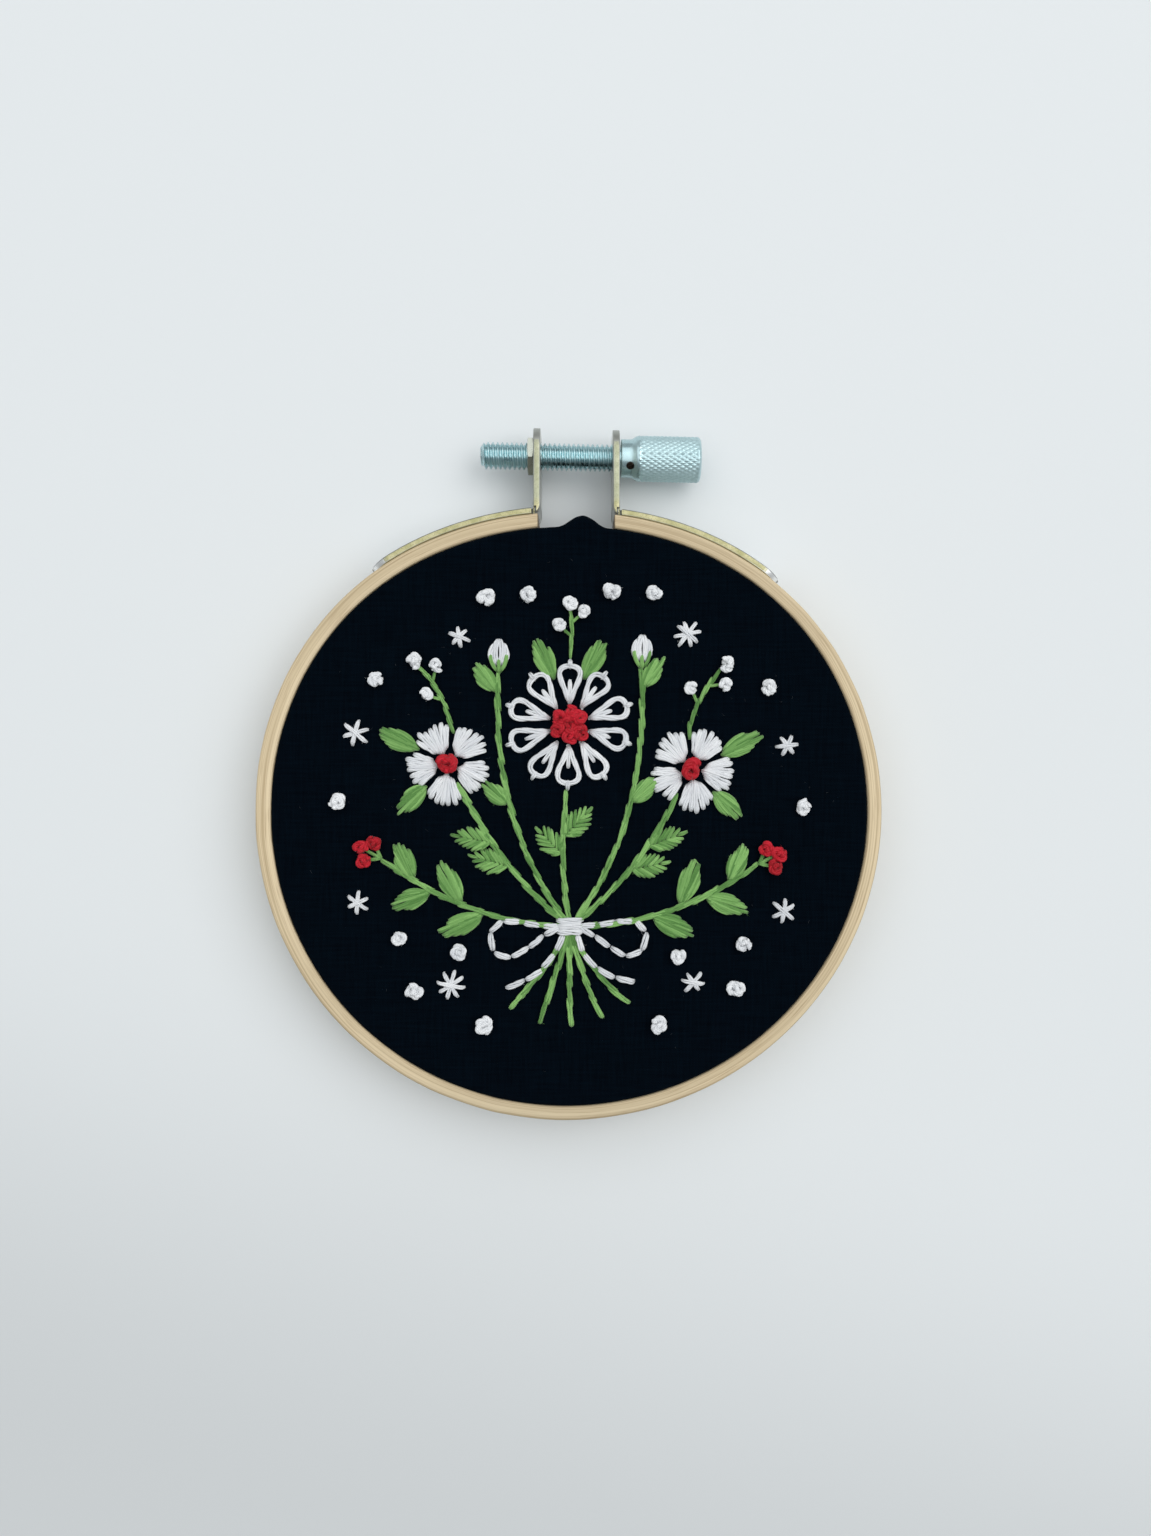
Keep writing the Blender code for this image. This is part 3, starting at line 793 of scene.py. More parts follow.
def bracket_stations(side):
    """Stations (x, y, angle of the outer face, half thickness, half width) of one bent strip."""
    inset = -(STRAP_GAP + PLATE / 2)
    bend_x = ear_middle(side) + side * BEND_RADIUS
    length = abs(STRAP_END[side] - rim_angle_at(bend_x, inset)) * HOOP_RADIUS
    corner = list(BRACKET_CORNER * (1 - np.cos(np.radians(np.arange(0, 90, 7.5)))))
    corner[0] = 0.02
    stations = []
    for distance in corner + list(np.linspace(BRACKET_CORNER, length, 34)):
        angle = STRAP_END[side] - side * distance / HOOP_RADIUS
        x, y, _ = polar(angle, rim_radius(angle, inset), 0)
        stations.append((x, y, angle, PLATE / 2, plate_half_width(distance)))
    bend_y = y + BEND_RADIUS
    for turn in (15, 30, 45, 60, 75):
        x, y = arc(bend_x, bend_y, BEND_RADIUS, [-90 - side * turn])[0]
        stations.append((x, y, side * math.radians(turn), PLATE / 2, BRACKET_WIDTH / 2))
    for distance in list(np.linspace(EAR_TOP_Y[side] - bend_y, BRACKET_CORNER, 9)) + corner[::-1]:
        place = (ear_middle(side), EAR_TOP_Y[side] - distance, side * FULL_TURN / 4)
        stations.append((*place, EAR_THICKNESS / 2, plate_half_width(distance)))
    return stations


def build_bracket(name, side, material):
    """A strap on the hoop and the ear turned up at its end, with a bore and two relief notches."""
    rings = []
    for x, y, angle, half, half_width in bracket_stations(side):
        section = section_outline(-half, 2 * half, -half_width, half_width, PLATE_EDGE, 3, 1, 1)
        across, up = section.T
        ring = (x - across * math.sin(angle), y - across * math.cos(angle), HOOP_DEPTH / 2 + up)
        rings.append(np.stack(ring, axis=1))
    obj = make_closed(name, material, rings)
    notch_x = ear_middle(side) + side * (BEND_RADIUS + NOTCH_OFFSET)
    notches = [notch_at(material, notch_x, up) for up in (1, -1)]
    cut_away(obj, [bore_at(material, ear_middle(side)), *notches])
    return smoothed(obj, 42)


def axis_y(x):
    """The screw's axis leans a little, as it does where the two ears aren't quite level."""
    return SCREW_Y + SCREW_LEAN * (x - SCREW_LEAN_X)


def turned_surface(profile, sides):
    """Rings about the screw's axis. Each row of the profile is x and the radius, also by angle."""
    turns = 360 * np.arange(sides) / sides
    rings = [np.insert(arc(axis_y(x), SCREW_Z, radius, turns), 0, x, axis=1) for x, radius in profile]
    return np.array(rings)


def thread_rows():
    """The right-hand thread, run out at the tip and at the collar."""
    turns = np.arange(SHANK_SIDES) / SHANK_SIDES
    count = round((COLLAR_START_X - SCREW_TIP_X) / THREAD_PITCH * 12)
    rows = []
    for x in np.linspace(SCREW_TIP_X, COLLAR_START_X, count + 1)[:-1]:
        phase = ((x - SCREW_TIP_X) / THREAD_PITCH - turns) % 1
        ridge = np.clip((0.8 - np.abs(2 * phase - 1)) / 0.62, 0, 1)
        from_tip = min(1.0, (x - SCREW_TIP_X) / 0.55)
        from_collar = min(1.0, max(0.0, (COLLAR_START_X - x - 0.1) / 0.5))
        radius = THREAD_ROOT + (THREAD_RADIUS - THREAD_ROOT) * ridge * min(from_tip, from_collar)
        rows.append((x, radius - 0.22 * (1 - from_tip)))
    return rows + [(COLLAR_START_X, THREAD_ROOT)]


def collar_rows():
    """The plain collar with its rounded edge, and the cone that leads to the head."""
    edge_x = COLLAR_START_X + COLLAR_EDGE
    rows = list(arc(edge_x, COLLAR_RADIUS - COLLAR_EDGE, COLLAR_EDGE, (180, 150, 120, 90)))
    rows += [(x, COLLAR_RADIUS) for x in np.linspace(COLLAR_START_X + 0.3, COLLAR_END_X, 6)]
    rise = HEAD_RADIUS - 0.05 - COLLAR_RADIUS
    for share in np.linspace(0, 1, 7)[1:]:
        x = COLLAR_END_X + share * (CONE_END_X - COLLAR_END_X)
        rows.append((x, COLLAR_RADIUS + rise * (3 * share**2 - 2 * share**3)))
    return rows


def knurl_rows():
    """Two crossing sets of helical grooves leave a field of small pointed diamonds."""
    turns = np.arange(HEAD_SIDES) * FULL_TURN / HEAD_SIDES
    start = CONE_END_X + 0.05
    end = HEAD_END_X - HEAD_CHAMFER
    count = int((end - start) / (FULL_TURN / HEAD_SIDES * HEAD_RADIUS / KNURL_SLOPE))
    rows = []
    for x in np.linspace(start, end, count + 1):
        lean = KNURL_SLOPE * (x - start) / HEAD_RADIUS
        phases = [(KNURL_STARTS * (turns + way * lean) / FULL_TURN) % 1 for way in (1, -1)]
        depth = np.abs(2 * np.array(phases) - 1).max(0)
        fade = min(1.0, 0.35 + (x - start) / 0.4, 0.35 + (end - x) / 0.3)
        rows.append((x, HEAD_RADIUS - KNURL_DEPTH * depth * fade))
    return rows


def head_end_rows():
    inner = HEAD_RADIUS - HEAD_CHAMFER
    edge = arc(HEAD_END_X - HEAD_CHAMFER, inner - HEAD_STEP, HEAD_CHAMFER, (70, 45, 20, 0))
    return [*edge, (HEAD_END_X, inner - HEAD_RIM)]


def build_thumb_screw(material):
    """One turned surface: thread, collar and knurled head, less the collar's pin hole."""
    shank = turned_surface(thread_rows(), SHANK_SIDES)
    head = turned_surface(collar_rows() + knurl_rows() + head_end_rows(), HEAD_SIDES)
    hubs = [(x, axis_y(x), SCREW_Z) for x in (SCREW_TIP_X, HEAD_END_X)]
    points = np.concatenate([shank.reshape(-1, 3), head.reshape(-1, 3), hubs])
    first = len(shank) * SHANK_SIDES
    size = len(points) - 2
    quads = [grid_faces(len(shank), SHANK_SIDES)[0], first + grid_faces(len(head), HEAD_SIDES)[0]]
    # The thread's last ring meets the collar's first ring, which has more points.
    coarse = np.arange(first - SHANK_SIDES, first)
    fine = first + np.arange(HEAD_SIDES).reshape(SHANK_SIDES, HEAD_PER_SHANK)
    fine = np.column_stack([fine, np.roll(fine[:, 0], -1)])
    steps = range(HEAD_PER_SHANK)
    triangles = [np.stack([coarse, fine[:, step], fine[:, step + 1]], axis=1) for step in steps]
    triangles.append(np.stack([coarse, fine[:, -1], np.roll(coarse, -1)], axis=1))
    triangles += [fan(0, SHANK_SIDES, size), fan(size - HEAD_SIDES, HEAD_SIDES, size + 1)]
    obj = make_object(
        "thumb_screw_turned", material, points, np.concatenate(quads), np.concatenate(triangles)
    )
    turned_out(obj)
    ends = []
    for reach in (COLLAR_RADIUS - PIN_HOLE_DEPTH, 4):
        y = axis_y(PIN_HOLE_X) - reach * math.sin(PIN_HOLE_TILT)
        ends.append((PIN_HOLE_X, y, SCREW_Z + reach * math.cos(PIN_HOLE_TILT)))
    cut_away(obj, [cylinder(material, PIN_HOLE_RADIUS, *ends, 32)])
    return smoothed(obj, 38)


def build_nut(material):
    """A thin nut: a hexagonal prism met by a turned solid with two cones, less its bore."""
    high = EAR_INNER_X[-1] - EAR_THICKNESS - NUT_GAP
    low = high - NUT_THICKNESS
    middle = (low + high) / 2
    corner = NUT_ACROSS_FLATS / math.sqrt(3)
    ring = arc(axis_y(middle), SCREW_Z, corner, NUT_TURN + 60 * np.arange(6))
    obj = make_closed("nut_hex", material, [[(x, y, z) for y, z in ring] for x in (low, high)])
    face = NUT_ACROSS_FLATS / 2 - 0.06
    widest = corner + 0.02
    cones = ((low, face), (low + NUT_CHAMFER, widest), (high - NUT_CHAMFER, widest), (high, face))
    cut_away(obj, [make_closed("cones", material, turned_surface(cones, 64))], "INTERSECT")
    cut_away(obj, [bore_at(material, middle)])
    return smoothed(obj, 20)


def with_height(flat, z):
    return np.concatenate([flat, z[:, None]], axis=1)


def sideways(path):
    """The level direction square to a path, point by point."""
    ahead = np.gradient(path, axis=0)
    return np.stack([-ahead[:, 1], ahead[:, 0], np.zeros(len(path))], axis=1)


def bowed(start, end, share, bow):
    """Points at shares of the way from start to end, bowed to one side, and that side's direction."""
    way = (end - start) / np.linalg.norm(end - start)
    side = np.array([-way[1], way[0], 0.0])
    flat = start + share[:, None] * (end - start) + (4 * share * (1 - share) * bow)[:, None] * side[:2]
    return flat, np.tile(side, (len(share), 1))


class Thread:
    """Collects the stitches of one colour and makes one mesh of them."""

    def __init__(self, name, seed):
        self.name = name
        self.rng = np.random.default_rng(seed)
        self.parts = []
        self.count = 0
        self.holes = []

    def add(self, points, quads, triangles, uv, tone):
        tones = np.full(len(points), tone)
        self.parts.append((points, quads + self.count, triangles + self.count, uv, tones))
        self.count += len(points)

    def lay(self, path, side, width, height, strands, turns, taper, tone=None):
        """A bundle of strands that twist about the path. side is about square to it."""
        rng = self.rng
        tangent = np.gradient(path, axis=0)
        tangent /= np.linalg.norm(tangent, axis=1)[:, None]
        side = side - (side * tangent).sum(1)[:, None] * tangent
        side /= np.linalg.norm(side, axis=1)[:, None]
        up = np.cross(tangent, side)
        length = path_lengths(path)
        share = length / length[-1]
        radius = STRAND_SHARE * width / strands
        starts = rng.uniform(0, FULL_TURN) + FULL_TURN * np.arange(strands)[:, None] / strands
        spin = starts + FULL_TURN * turns * share + rng.normal(0, 0.12, (strands, 1))
        wobble = 1 + 0.08 * np.sin(FULL_TURN * share * rng.uniform(1, 2.5, (strands, 1)) + spin)
        across = (width / 2 - radius) * np.cos(spin) * wobble * taper
        over = max(0.0, height / 2 - radius) * np.sin(spin) * taper
        centre = path + across[..., None] * side + over[..., None] * up
        thick = radius * rng.uniform(0.9, 1.1, (strands, 1)) * (0.35 + 0.65 * taper)
        rings = rings_about(centre, thick, side, up, STRAND_SIDES)
        quads, corner_rows, corner_columns = grid_faces(len(path), STRAND_SIDES)
        uv = np.stack([length[corner_rows], corner_columns / STRAND_SIDES], axis=-1)
        size = len(path) * STRAND_SIDES
        last = fan(size - STRAND_SIDES, STRAND_SIDES, size + 1)
        ends = np.concatenate([fan(0, STRAND_SIDES, size)[:, ::-1], last])
        tone = rng.uniform(0, 1) if tone is None else tone
        for strand, line in zip(rings, centre):
            points = np.concatenate([strand.reshape(-1, 3), line[[0, -1]]])
            shifted = uv + (rng.uniform(0, 5), 0)
            self.add(points, quads, ends, shifted, np.clip(tone + rng.uniform(-0.35, 0.35), 0, 1))

    def sew(self, flat, side, distance, dive, width, height, base, strands, turns):
        """Thread on the cloth, pulled into it within the dive from both ends."""
        from_end = np.minimum(distance, distance[-1] - distance)
        rise = np.sin(np.clip(from_end / dive, 0, 1) * math.pi / 2)
        z = FRONT + (base + height * LIFT_SHARE) * rise - HOLE_DEPTH * (1 - rise) ** 1.5
        self.lay(with_height(flat, z), side, width, height, strands, turns, 0.5 + 0.5 * rise**0.8)
        self.holes += [flat[0], flat[-1]]

    def straight(self, start, end, width=0.95, height=0.55, base=0.0, bow=0.0, strands=5):
        """One straight stitch."""
        length = np.linalg.norm(end - start)
        if length < SHORTEST_STITCH:
            return
        dive = min(DIVE, 0.48 * length)
        near = dive * np.array([0, 0.12, 0.32, 0.6, 1.0])
        middle = np.linspace(dive, length - dive, 5)[1:-1]
        distance = np.concatenate([near, middle, (length - near)[::-1]])
        flat, side = bowed(start, end, distance / length, bow)
        turns = self.rng.normal(0.1, 0.04) * length
        self.sew(flat, side, distance, dive, width, height, base, strands, turns)

    def curve(self, flat, width, height, strands, turns):
        """One thread laid along a curve."""
        self.sew(flat, sideways(flat), path_lengths(flat), DIVE, width, height, 0.0, strands, turns)

    def knot(self, centre, across=2.3, wraps=4):
        """A knot: thread wound over itself in uneven loops, the last ones drawn down across the top."""
        rng = self.rng
        thick = 0.40 * across
        reach = across / 2 - 0.42 * thick
        tone = rng.uniform(0.3, 1)
        first = rng.uniform(0, FULL_TURN)
        for wrap in range(wraps):
            lean = first + FULL_TURN * wrap / wraps + rng.normal(0, 0.5)
            start = rng.uniform(0, FULL_TURN)
            turn = start + np.linspace(0, FULL_TURN * rng.uniform(0.7, 0.95), 15)
            uneven = 1 + 0.12 * np.sin(2 * turn + rng.uniform(0, FULL_TURN))
            ring = 0.88 * reach * rng.uniform(0.72, 1.02) * uneven
            shift = 0.13 * across * np.array([math.cos(lean), math.sin(lean)])
            flat = ring[:, None] * np.stack([np.cos(turn), np.sin(turn)], axis=1) + shift
            layer = 0.42 * thick + 0.26 * across * wrap / wraps
            taper = np.ones(15)
            taper[[0, -1]] = 0.75
            self.wind(centre, flat, layer + 0.17 * across * np.cos(turn - lean), thick, taper, tone)
        for lean in (first + 0.9, first + 2.6):
            way = np.array([math.cos(lean), math.sin(lean)])
            cross = np.array([-way[1], way[0]])
            share = np.linspace(-1, 1, 9)
            bow = 0.14 * rng.normal() + 0.12 * (1 - share**2)
            flat = 0.62 * reach * share[:, None] * way + across * bow[:, None] * cross
            z = 0.42 * thick + 0.36 * across * (1 - 0.55 * share**2)
            self.wind(centre, flat, z, 0.9 * thick, 1 - 0.3 * share**4, tone)
        self.holes.append(centre)

    def wind(self, centre, flat, z, thick, taper, tone):
        """One loop of a knot about its centre."""
        path = with_height(flat + centre, z + FRONT)
        turns = self.rng.normal(1.2, 0.3)
        self.lay(path, sideways(path) + 1e-6, thick, thick * 0.85, 3, turns, taper, tone)

    def run_behind(self, start, end):
        """Thread on the cloth's back from the end of one stitch to the start of the next."""
        length = np.linalg.norm(end - start)
        if not BACK_SHORTEST < length < BACK_LONGEST:
            return
        share = np.linspace(0, 1, 6)
        flat, side = bowed(start, end, share, self.rng.normal(0, 0.05) * length)
        hang = np.sin(share * math.pi) ** 0.5 * self.rng.uniform(0.2, 0.5)
        path = with_height(flat, UNDERSIDE + front_relief(*flat.T) - hang)
        taper = np.array([0.7, 1, 1, 1, 1, 0.7])
        self.lay(path, side, BACK_WIDTH, BACK_HEIGHT, 2, 0.2 * length, taper)

    def fibres(self, roots, length, radius, rise):
        """Short loose fibres that stand off the thread or lie on the cloth."""
        rng = self.rng
        share = np.linspace(0, 1, 4)
        up = np.tile((0, 0, 1.0), (4, 1))
        quads = grid_faces(4, 3)[0]
        for root in roots:
            angle = rng.uniform(0, FULL_TURN) + rng.uniform(-1.6, 1.6) * share
            size = length * rng.uniform(0.5, 1.3)
            path = np.zeros((4, 3))
            path[1:, 0] = np.cumsum(np.cos(angle[1:])) * size / 3
            path[1:, 1] = np.cumsum(np.sin(angle[1:])) * size / 3
            path[:, 2] = rise * size * rng.uniform(0, 1) * np.sin(share * 2.2)
            path += root
            side = sideways(path)
            side /= np.linalg.norm(side, axis=1)[:, None]
            rings = rings_about(path, radius * np.array([1, 1, 0.8, 0.3]), side, up, 3)
            ends = np.array([[2, 1, 0], [9, 10, 11]])
            uv = np.zeros((len(quads), 4, 2))
            self.add(rings.reshape(-1, 3), quads, ends, uv, rng.uniform(0.3, 1))

    def fuzz(self, count):
        """Fibres from random places on the stitches."""
        points = np.concatenate([part[0] for part in self.parts])
        points = points[points[:, 2] > FRONT + 0.1]
        self.fibres(points[self.rng.integers(0, len(points), count)], *FUZZ)

    def make(self, material):
        points, quads, triangles, uv, tones = (np.concatenate(part) for part in zip(*self.parts))
        uv = (uv, np.zeros((len(triangles), 3, 2)))
        return make_object(self.name, material, points, quads, triangles, uv, tones)


def heading(degrees):
    """Unit vector at an angle anticlockwise from +x."""
    return np.array([math.cos(math.radians(degrees)), math.sin(math.radians(degrees))])


def axes(degrees):
    """Unit vectors along a heading and to its left."""
    return heading(degrees), heading(degrees + 90)


class Line:
    """A curve on the cloth that gives points and headings by distance."""

    def __init__(self, points):
        self.points = points
        self.distance = path_lengths(points)
        self.length = self.distance[-1]

    def at(self, distance):
        return np.array([np.interp(distance, self.distance, values) for values in self.points.T])

    def degrees(self, distance):
        distance = min(distance, self.length)
        ahead = self.at(min(self.length, distance + 0.4)) - self.at(max(0, distance - 0.4))
        return math.degrees(math.atan2(ahead[1], ahead[0]))


def bezier(start, control, end):
    t = np.linspace(0, 1, 60)[:, None]
    start, control, end = (np.asarray(p, float) for p in (start, control, end))
    return Line((1 - t) ** 2 * start + 2 * t * (1 - t) * control + t**2 * end)


def stem_stitch(thread, line, width=0.8, stitch=4.4):
    """Long overlapping stitches, each at a slight slant to the line."""
    rng = thread.rng
    step = stitch * 0.58
    for k in range(max(1, round((line.length - stitch) / step) + 1)):
        low = min(k * step, line.length - 1.4) + rng.normal(0, 0.18)
        high = min(low + stitch * rng.uniform(0.88, 1.1), line.length)
        low = max(0, low)
        slant = 0.17 * rng.uniform(0.6, 1.5)
        across = heading(line.degrees((low + high) / 2) + 90)
        start = line.at(low) - slant * across
        end = line.at(high) + slant * across
        bow = float((line.at((low + high) / 2) - (start + end) / 2) @ across)
        thread.straight(start, end, width * rng.uniform(0.9, 1.1), 0.42, 0.05 * (k % 2), bow, 4)


def back_stitch(thread, line, base, gap=0.22):
    """Stitches end to end, as a drawn line."""
    count = max(1, round(line.length / (2.5 + gap)))
    step = line.length / count
    for k in range(count):
        jitter = thread.rng.normal(0, 0.06, 4)
        start = line.at(k * step + gap / 2) + jitter[:2]
        end = line.at((k + 1) * step - gap / 2) + jitter[2:]
        thread.straight(start, end, 0.92 * thread.rng.uniform(0.94, 1.06), 0.55, base)


def satin_leaf(thread, base, degrees, length, half_width, threads=10):
    """A leaf of long stitches that fan out from its base, with a ragged end and a slit."""
    along, across = axes(degrees)
    for k in np.argsort(-np.abs(np.arange(threads) - (threads - 1) / 2)):
        s = (k + 0.5) / threads * 2 - 1
        jitter = thread.rng.normal(0, 0.09, 3)
        slit = 0.16 * np.sign(s) if abs(s) < 0.4 else 0.0
        far = length * (1 - 0.40 * abs(s) ** 1.6) + 2.4 * jitter[0]
        near = length * 0.10 * abs(s) + abs(jitter[1])
        start = base + near * along + 0.25 * half_width * s * across
        end = base + far * along + (half_width * s * 0.92 + slit + 0.6 * jitter[2]) * across
        width = 0.62 * thread.rng.uniform(0.85, 1.12)
        thread.straight(start, end, width, 0.4, 0.16 * (1 - s * s), 0.30 * half_width * s, 3)


def fishbone_leaf(thread, base, degrees, length, half_width):
    """Slanted stitches from both edges that meet on the leaf's middle line."""
    along, across = axes(degrees)
    thread.straight(base + length * 0.72 * along, base + length * along, 0.6, 0.48, strands=4)
    for index, share in enumerate(np.arange(0.86, 0.14, -0.62 / length)):
        belly = half_width * math.sin(math.pi * min(1.0, share * 0.92 + 0.08)) ** 0.75
        for side in (1, -1):
            jitter = thread.rng.normal(0, 0.07, 2)
            edge = base + (share * length + jitter[0]) * along + side * (belly + jitter[1]) * across
            middle = base + (share * length - 1.7 - 0.25 * belly) * along - side * 0.14 * across
            if share * length < 1.9:
                middle = base - side * 0.1 * across
            thread.straight(edge, middle, 0.58, 0.40, 0.02 * index, strands=3)


def daisy_petal(thread, base, degrees, length, half_width):
    """A lazy-daisy petal: one loop held at its tip by a small stitch."""
    along, across = axes(degrees)
    t = np.linspace(0, 1, 27)[:, None]
    reach = length * np.sin(math.pi * t) ** 0.8
    swing = half_width * np.sin(FULL_TURN * t) * (0.75 + 0.5 * np.sin(math.pi * t))
    swing = swing + thread.rng.normal(0, 0.08) * np.sin(math.pi * t)
    thread.curve(base + reach * along + swing * across, 0.85, 0.55, 4, 1.6)
    tip = base + length * along
    thread.straight(tip - 0.35 * along, tip + 0.95 * along, 0.75, 0.5, 0.42, strands=4)


def star(thread, centre, size, rays, turn):
    """A small star of straight stitches that cross at its middle."""
    for k in range(rays):
        way = heading(turn + 180 * k / rays + thread.rng.normal(0, 4))
        reach = size / 2 * thread.rng.uniform(0.88, 1.1) * way
        thread.straight(centre - reach, centre + reach, 0.68, 0.45, 0.1 * k, strands=4)


def satin_flower(thread, centre, turn, radius=6.1, petals=5, per_petal=7):
    """A flower of filled petals, each a fan of straight stitches."""
    spread = 360 / petals * 0.43
    for petal in range(petals):
        middle = turn + 360 * petal / petals
        for k in range(per_petal):
            s = (k + 0.5) / per_petal * 2 - 1
            jitter = thread.rng.normal(0, 0.1, 2)
            outer = radius * (1 - 0.17 * abs(s) ** 2.2) + 1.5 * jitter[0]
            start = centre + (1.5 + 0.9 * abs(s)) * heading(middle + 0.8 * spread * s)
            end = centre + outer * heading(middle + spread * s + 10 * jitter[1])
            thread.straight(start, end, 0.86, 0.5, 0.12 * (1 - abs(s)) + 0.02 * (k % 2), strands=4)


def bud(white, green, base, degrees, size=5.0):
    """A closed white bud in a green calyx."""
    along, across = axes(degrees)
    for s in (-1, 1, -0.4, 0.4):
        start = base + 0.8 * along + 0.3 * s * across
        end = base + size * (1 - 0.16 * abs(s)) * along + 0.35 * s * across
        white.straight(start, end, 0.86, 0.5, 0.16 * (1 - abs(s)), 0.85 * s, 4)
    for s in (-1, 1):
        end = base + 0.54 * size * along + 1.15 * s * across
        green.straight(base + 0.1 * s * across, end, 0.62, 0.42, 0.25, 0.35 * s, 3)
    green.straight(base - 0.3 * along, base + 0.40 * size * along, 0.62, 0.42, 0.38, strands=3)


def stalked_knot(red, green, base, degrees, reach):
    """A red knot at the end of a short green stitch."""
    centre = base + reach * heading(degrees)
    green.straight(base, centre - 0.3 * heading(degrees), 0.55, 0.42, 0.02, strands=3)
    red.knot(centre, 2.1)


TIE = np.array([0.3, -17.0])
MAIN_FLOWER = np.array([0.2, 12.0])
LEFT_FLOWER = np.array([-17.2, 6.4])
RIGHT_FLOWER = np.array([17.8, 5.6])


def sew_stems(green):
    """The bouquet's stems, as lines that leaves and buds are set on."""
    stems = {
        "main": bezier(TIE, (-1.6, -6), (0.1, 3.6)),
        "left": bezier(TIE, (-9.4, -9.5), LEFT_FLOWER + 3.0 * heading(298)),
        "right": bezier(TIE, (10.0, -10), RIGHT_FLOWER + 3.0 * heading(241)),
        "outer_left": bezier(TIE, (-14, -16.8), (-26.8, -7.2)),
        "outer_right": bezier(TIE, (14.5, -17.2), (27.4, -8.0)),
        "high_left": bezier(TIE, (-11.4, -2), (-9.9, 19.6)),
        "high_right": bezier(TIE, (11.8, -3), (10.6, 20.2)),
    }
    feet = ((-8.6, -28.8), (-4.3, -31.2), (0.4, -32.0), (5.0, -30.6), (9.0, -28.4))
    for line in (*stems.values(), *(bezier(TIE, (x * 0.3, -23), (x, y)) for x, y in feet)):
        stem_stitch(green, line)
    return stems


def sew_leaves(green, stems):
    """Leaves by their shape, as (stem, share of its length, side, length, half width)."""
    kinds = (
        (satin_leaf, (
            ("outer_left", 0.42, 1, 6.6, 1.5), ("outer_left", 0.54, -1, 6.8, 1.55),
            ("outer_left", 0.70, 1, 6.2, 1.45), ("outer_left", 0.80, -1, 5.8, 1.4),
            ("outer_right", 0.40, -1, 6.7, 1.55), ("outer_right", 0.55, 1, 6.6, 1.5),
            ("outer_right", 0.68, -1, 6.3, 1.45), ("outer_right", 0.82, 1, 5.6, 1.35),
        )),
        (fishbone_leaf, (
            ("left", 0.46, 1, 6.0, 1.7), ("left", 0.62, 1, 5.6, 1.6), ("right", 0.46, -1, 6.0, 1.7),
            ("right", 0.62, -1, 5.6, 1.6), ("main", 0.50, 1, 5.4, 1.6), ("main", 0.62, -1, 5.6, 1.6),
        )),
        (satin_leaf, (
            ("high_left", 0.50, 1, 5.0, 1.2), ("high_right", 0.50, -1, 5.0, 1.2),
            ("high_left", 0.92, 1, 5.2, 1.25), ("high_right", 0.92, -1, 5.2, 1.25),
        )),
    )
    for sew_leaf, leaves in kinds:
        for name, share, side, length, half_width in leaves:
            distance = share * stems[name].length
            degrees = stems[name].degrees(distance) + side * green.rng.uniform(32, 48)
            base = stems[name].at(distance) + 0.3 * heading(degrees)
            sew_leaf(green, base, degrees, length * green.rng.uniform(0.94, 1.06), half_width)
    # Leaves that look out from behind the flowers
    for flower, gap, from_centre, turn, length in (
        (LEFT_FLOWER, 154, 4.6, 2, 6.6), (LEFT_FLOWER, 226, 4.4, -4, 5.6),
        (RIGHT_FLOWER, 25, 4.6, 3, 6.6), (RIGHT_FLOWER, 313, 4.4, 4, 5.6),
        (MAIN_FLOWER, 108, 6.8, 8, 6.4), (MAIN_FLOWER, 72, 6.8, -8, 6.4),
    ):
        satin_leaf(green, flower + from_centre * heading(gap), gap + turn, length, 1.45)


def sew_flowers(white, green, red, stems):
    """Three flowers with red middles, two buds, and red knots at the outer stems' ends."""
    petals = 10
    for k in range(petals):
        degrees = 90 + 360 * k / petals + white.rng.normal(0, 1.3)
        base = MAIN_FLOWER + 2.9 * heading(degrees)
        length = 5.6 * white.rng.uniform(0.95, 1.05)
        daisy_petal(white, base, degrees, length, 1.28 * white.rng.uniform(0.9, 1.08))
        tip = base + white.rng.uniform(3.2, 3.9) * heading(degrees)
        white.straight(base + 0.7 * heading(degrees), tip, 0.7, 0.45, strands=4)
    for k in range(6):
        way = heading(30 + 60 * k + red.rng.normal(0, 4))
        place = MAIN_FLOWER + 1.85 * way + red.rng.normal(0, 0.08, 2)
        red.knot(place, red.rng.uniform(2.0, 2.3))
    red.knot(MAIN_FLOWER)
    satin_flower(white, LEFT_FLOWER, 118)
    satin_flower(white, RIGHT_FLOWER, 61)
    red.knot(LEFT_FLOWER, 2.9, 5)
    red.knot(RIGHT_FLOWER, 2.9, 5)
    for name, turn in (("high_left", 4), ("high_right", -4)):
        length = stems[name].length
        bud(white, green, stems[name].at(length), stems[name].degrees(length) + turn)
    for name, side in (("outer_left", 1), ("outer_right", -1)):
        length = stems[name].length
        for turn, reach in ((-30, 2.4), (8, 3.2), (44, 2.4)):
            degrees = stems[name].degrees(length) + side * turn
            stalked_knot(red, green, stems[name].at(length), degrees, reach)


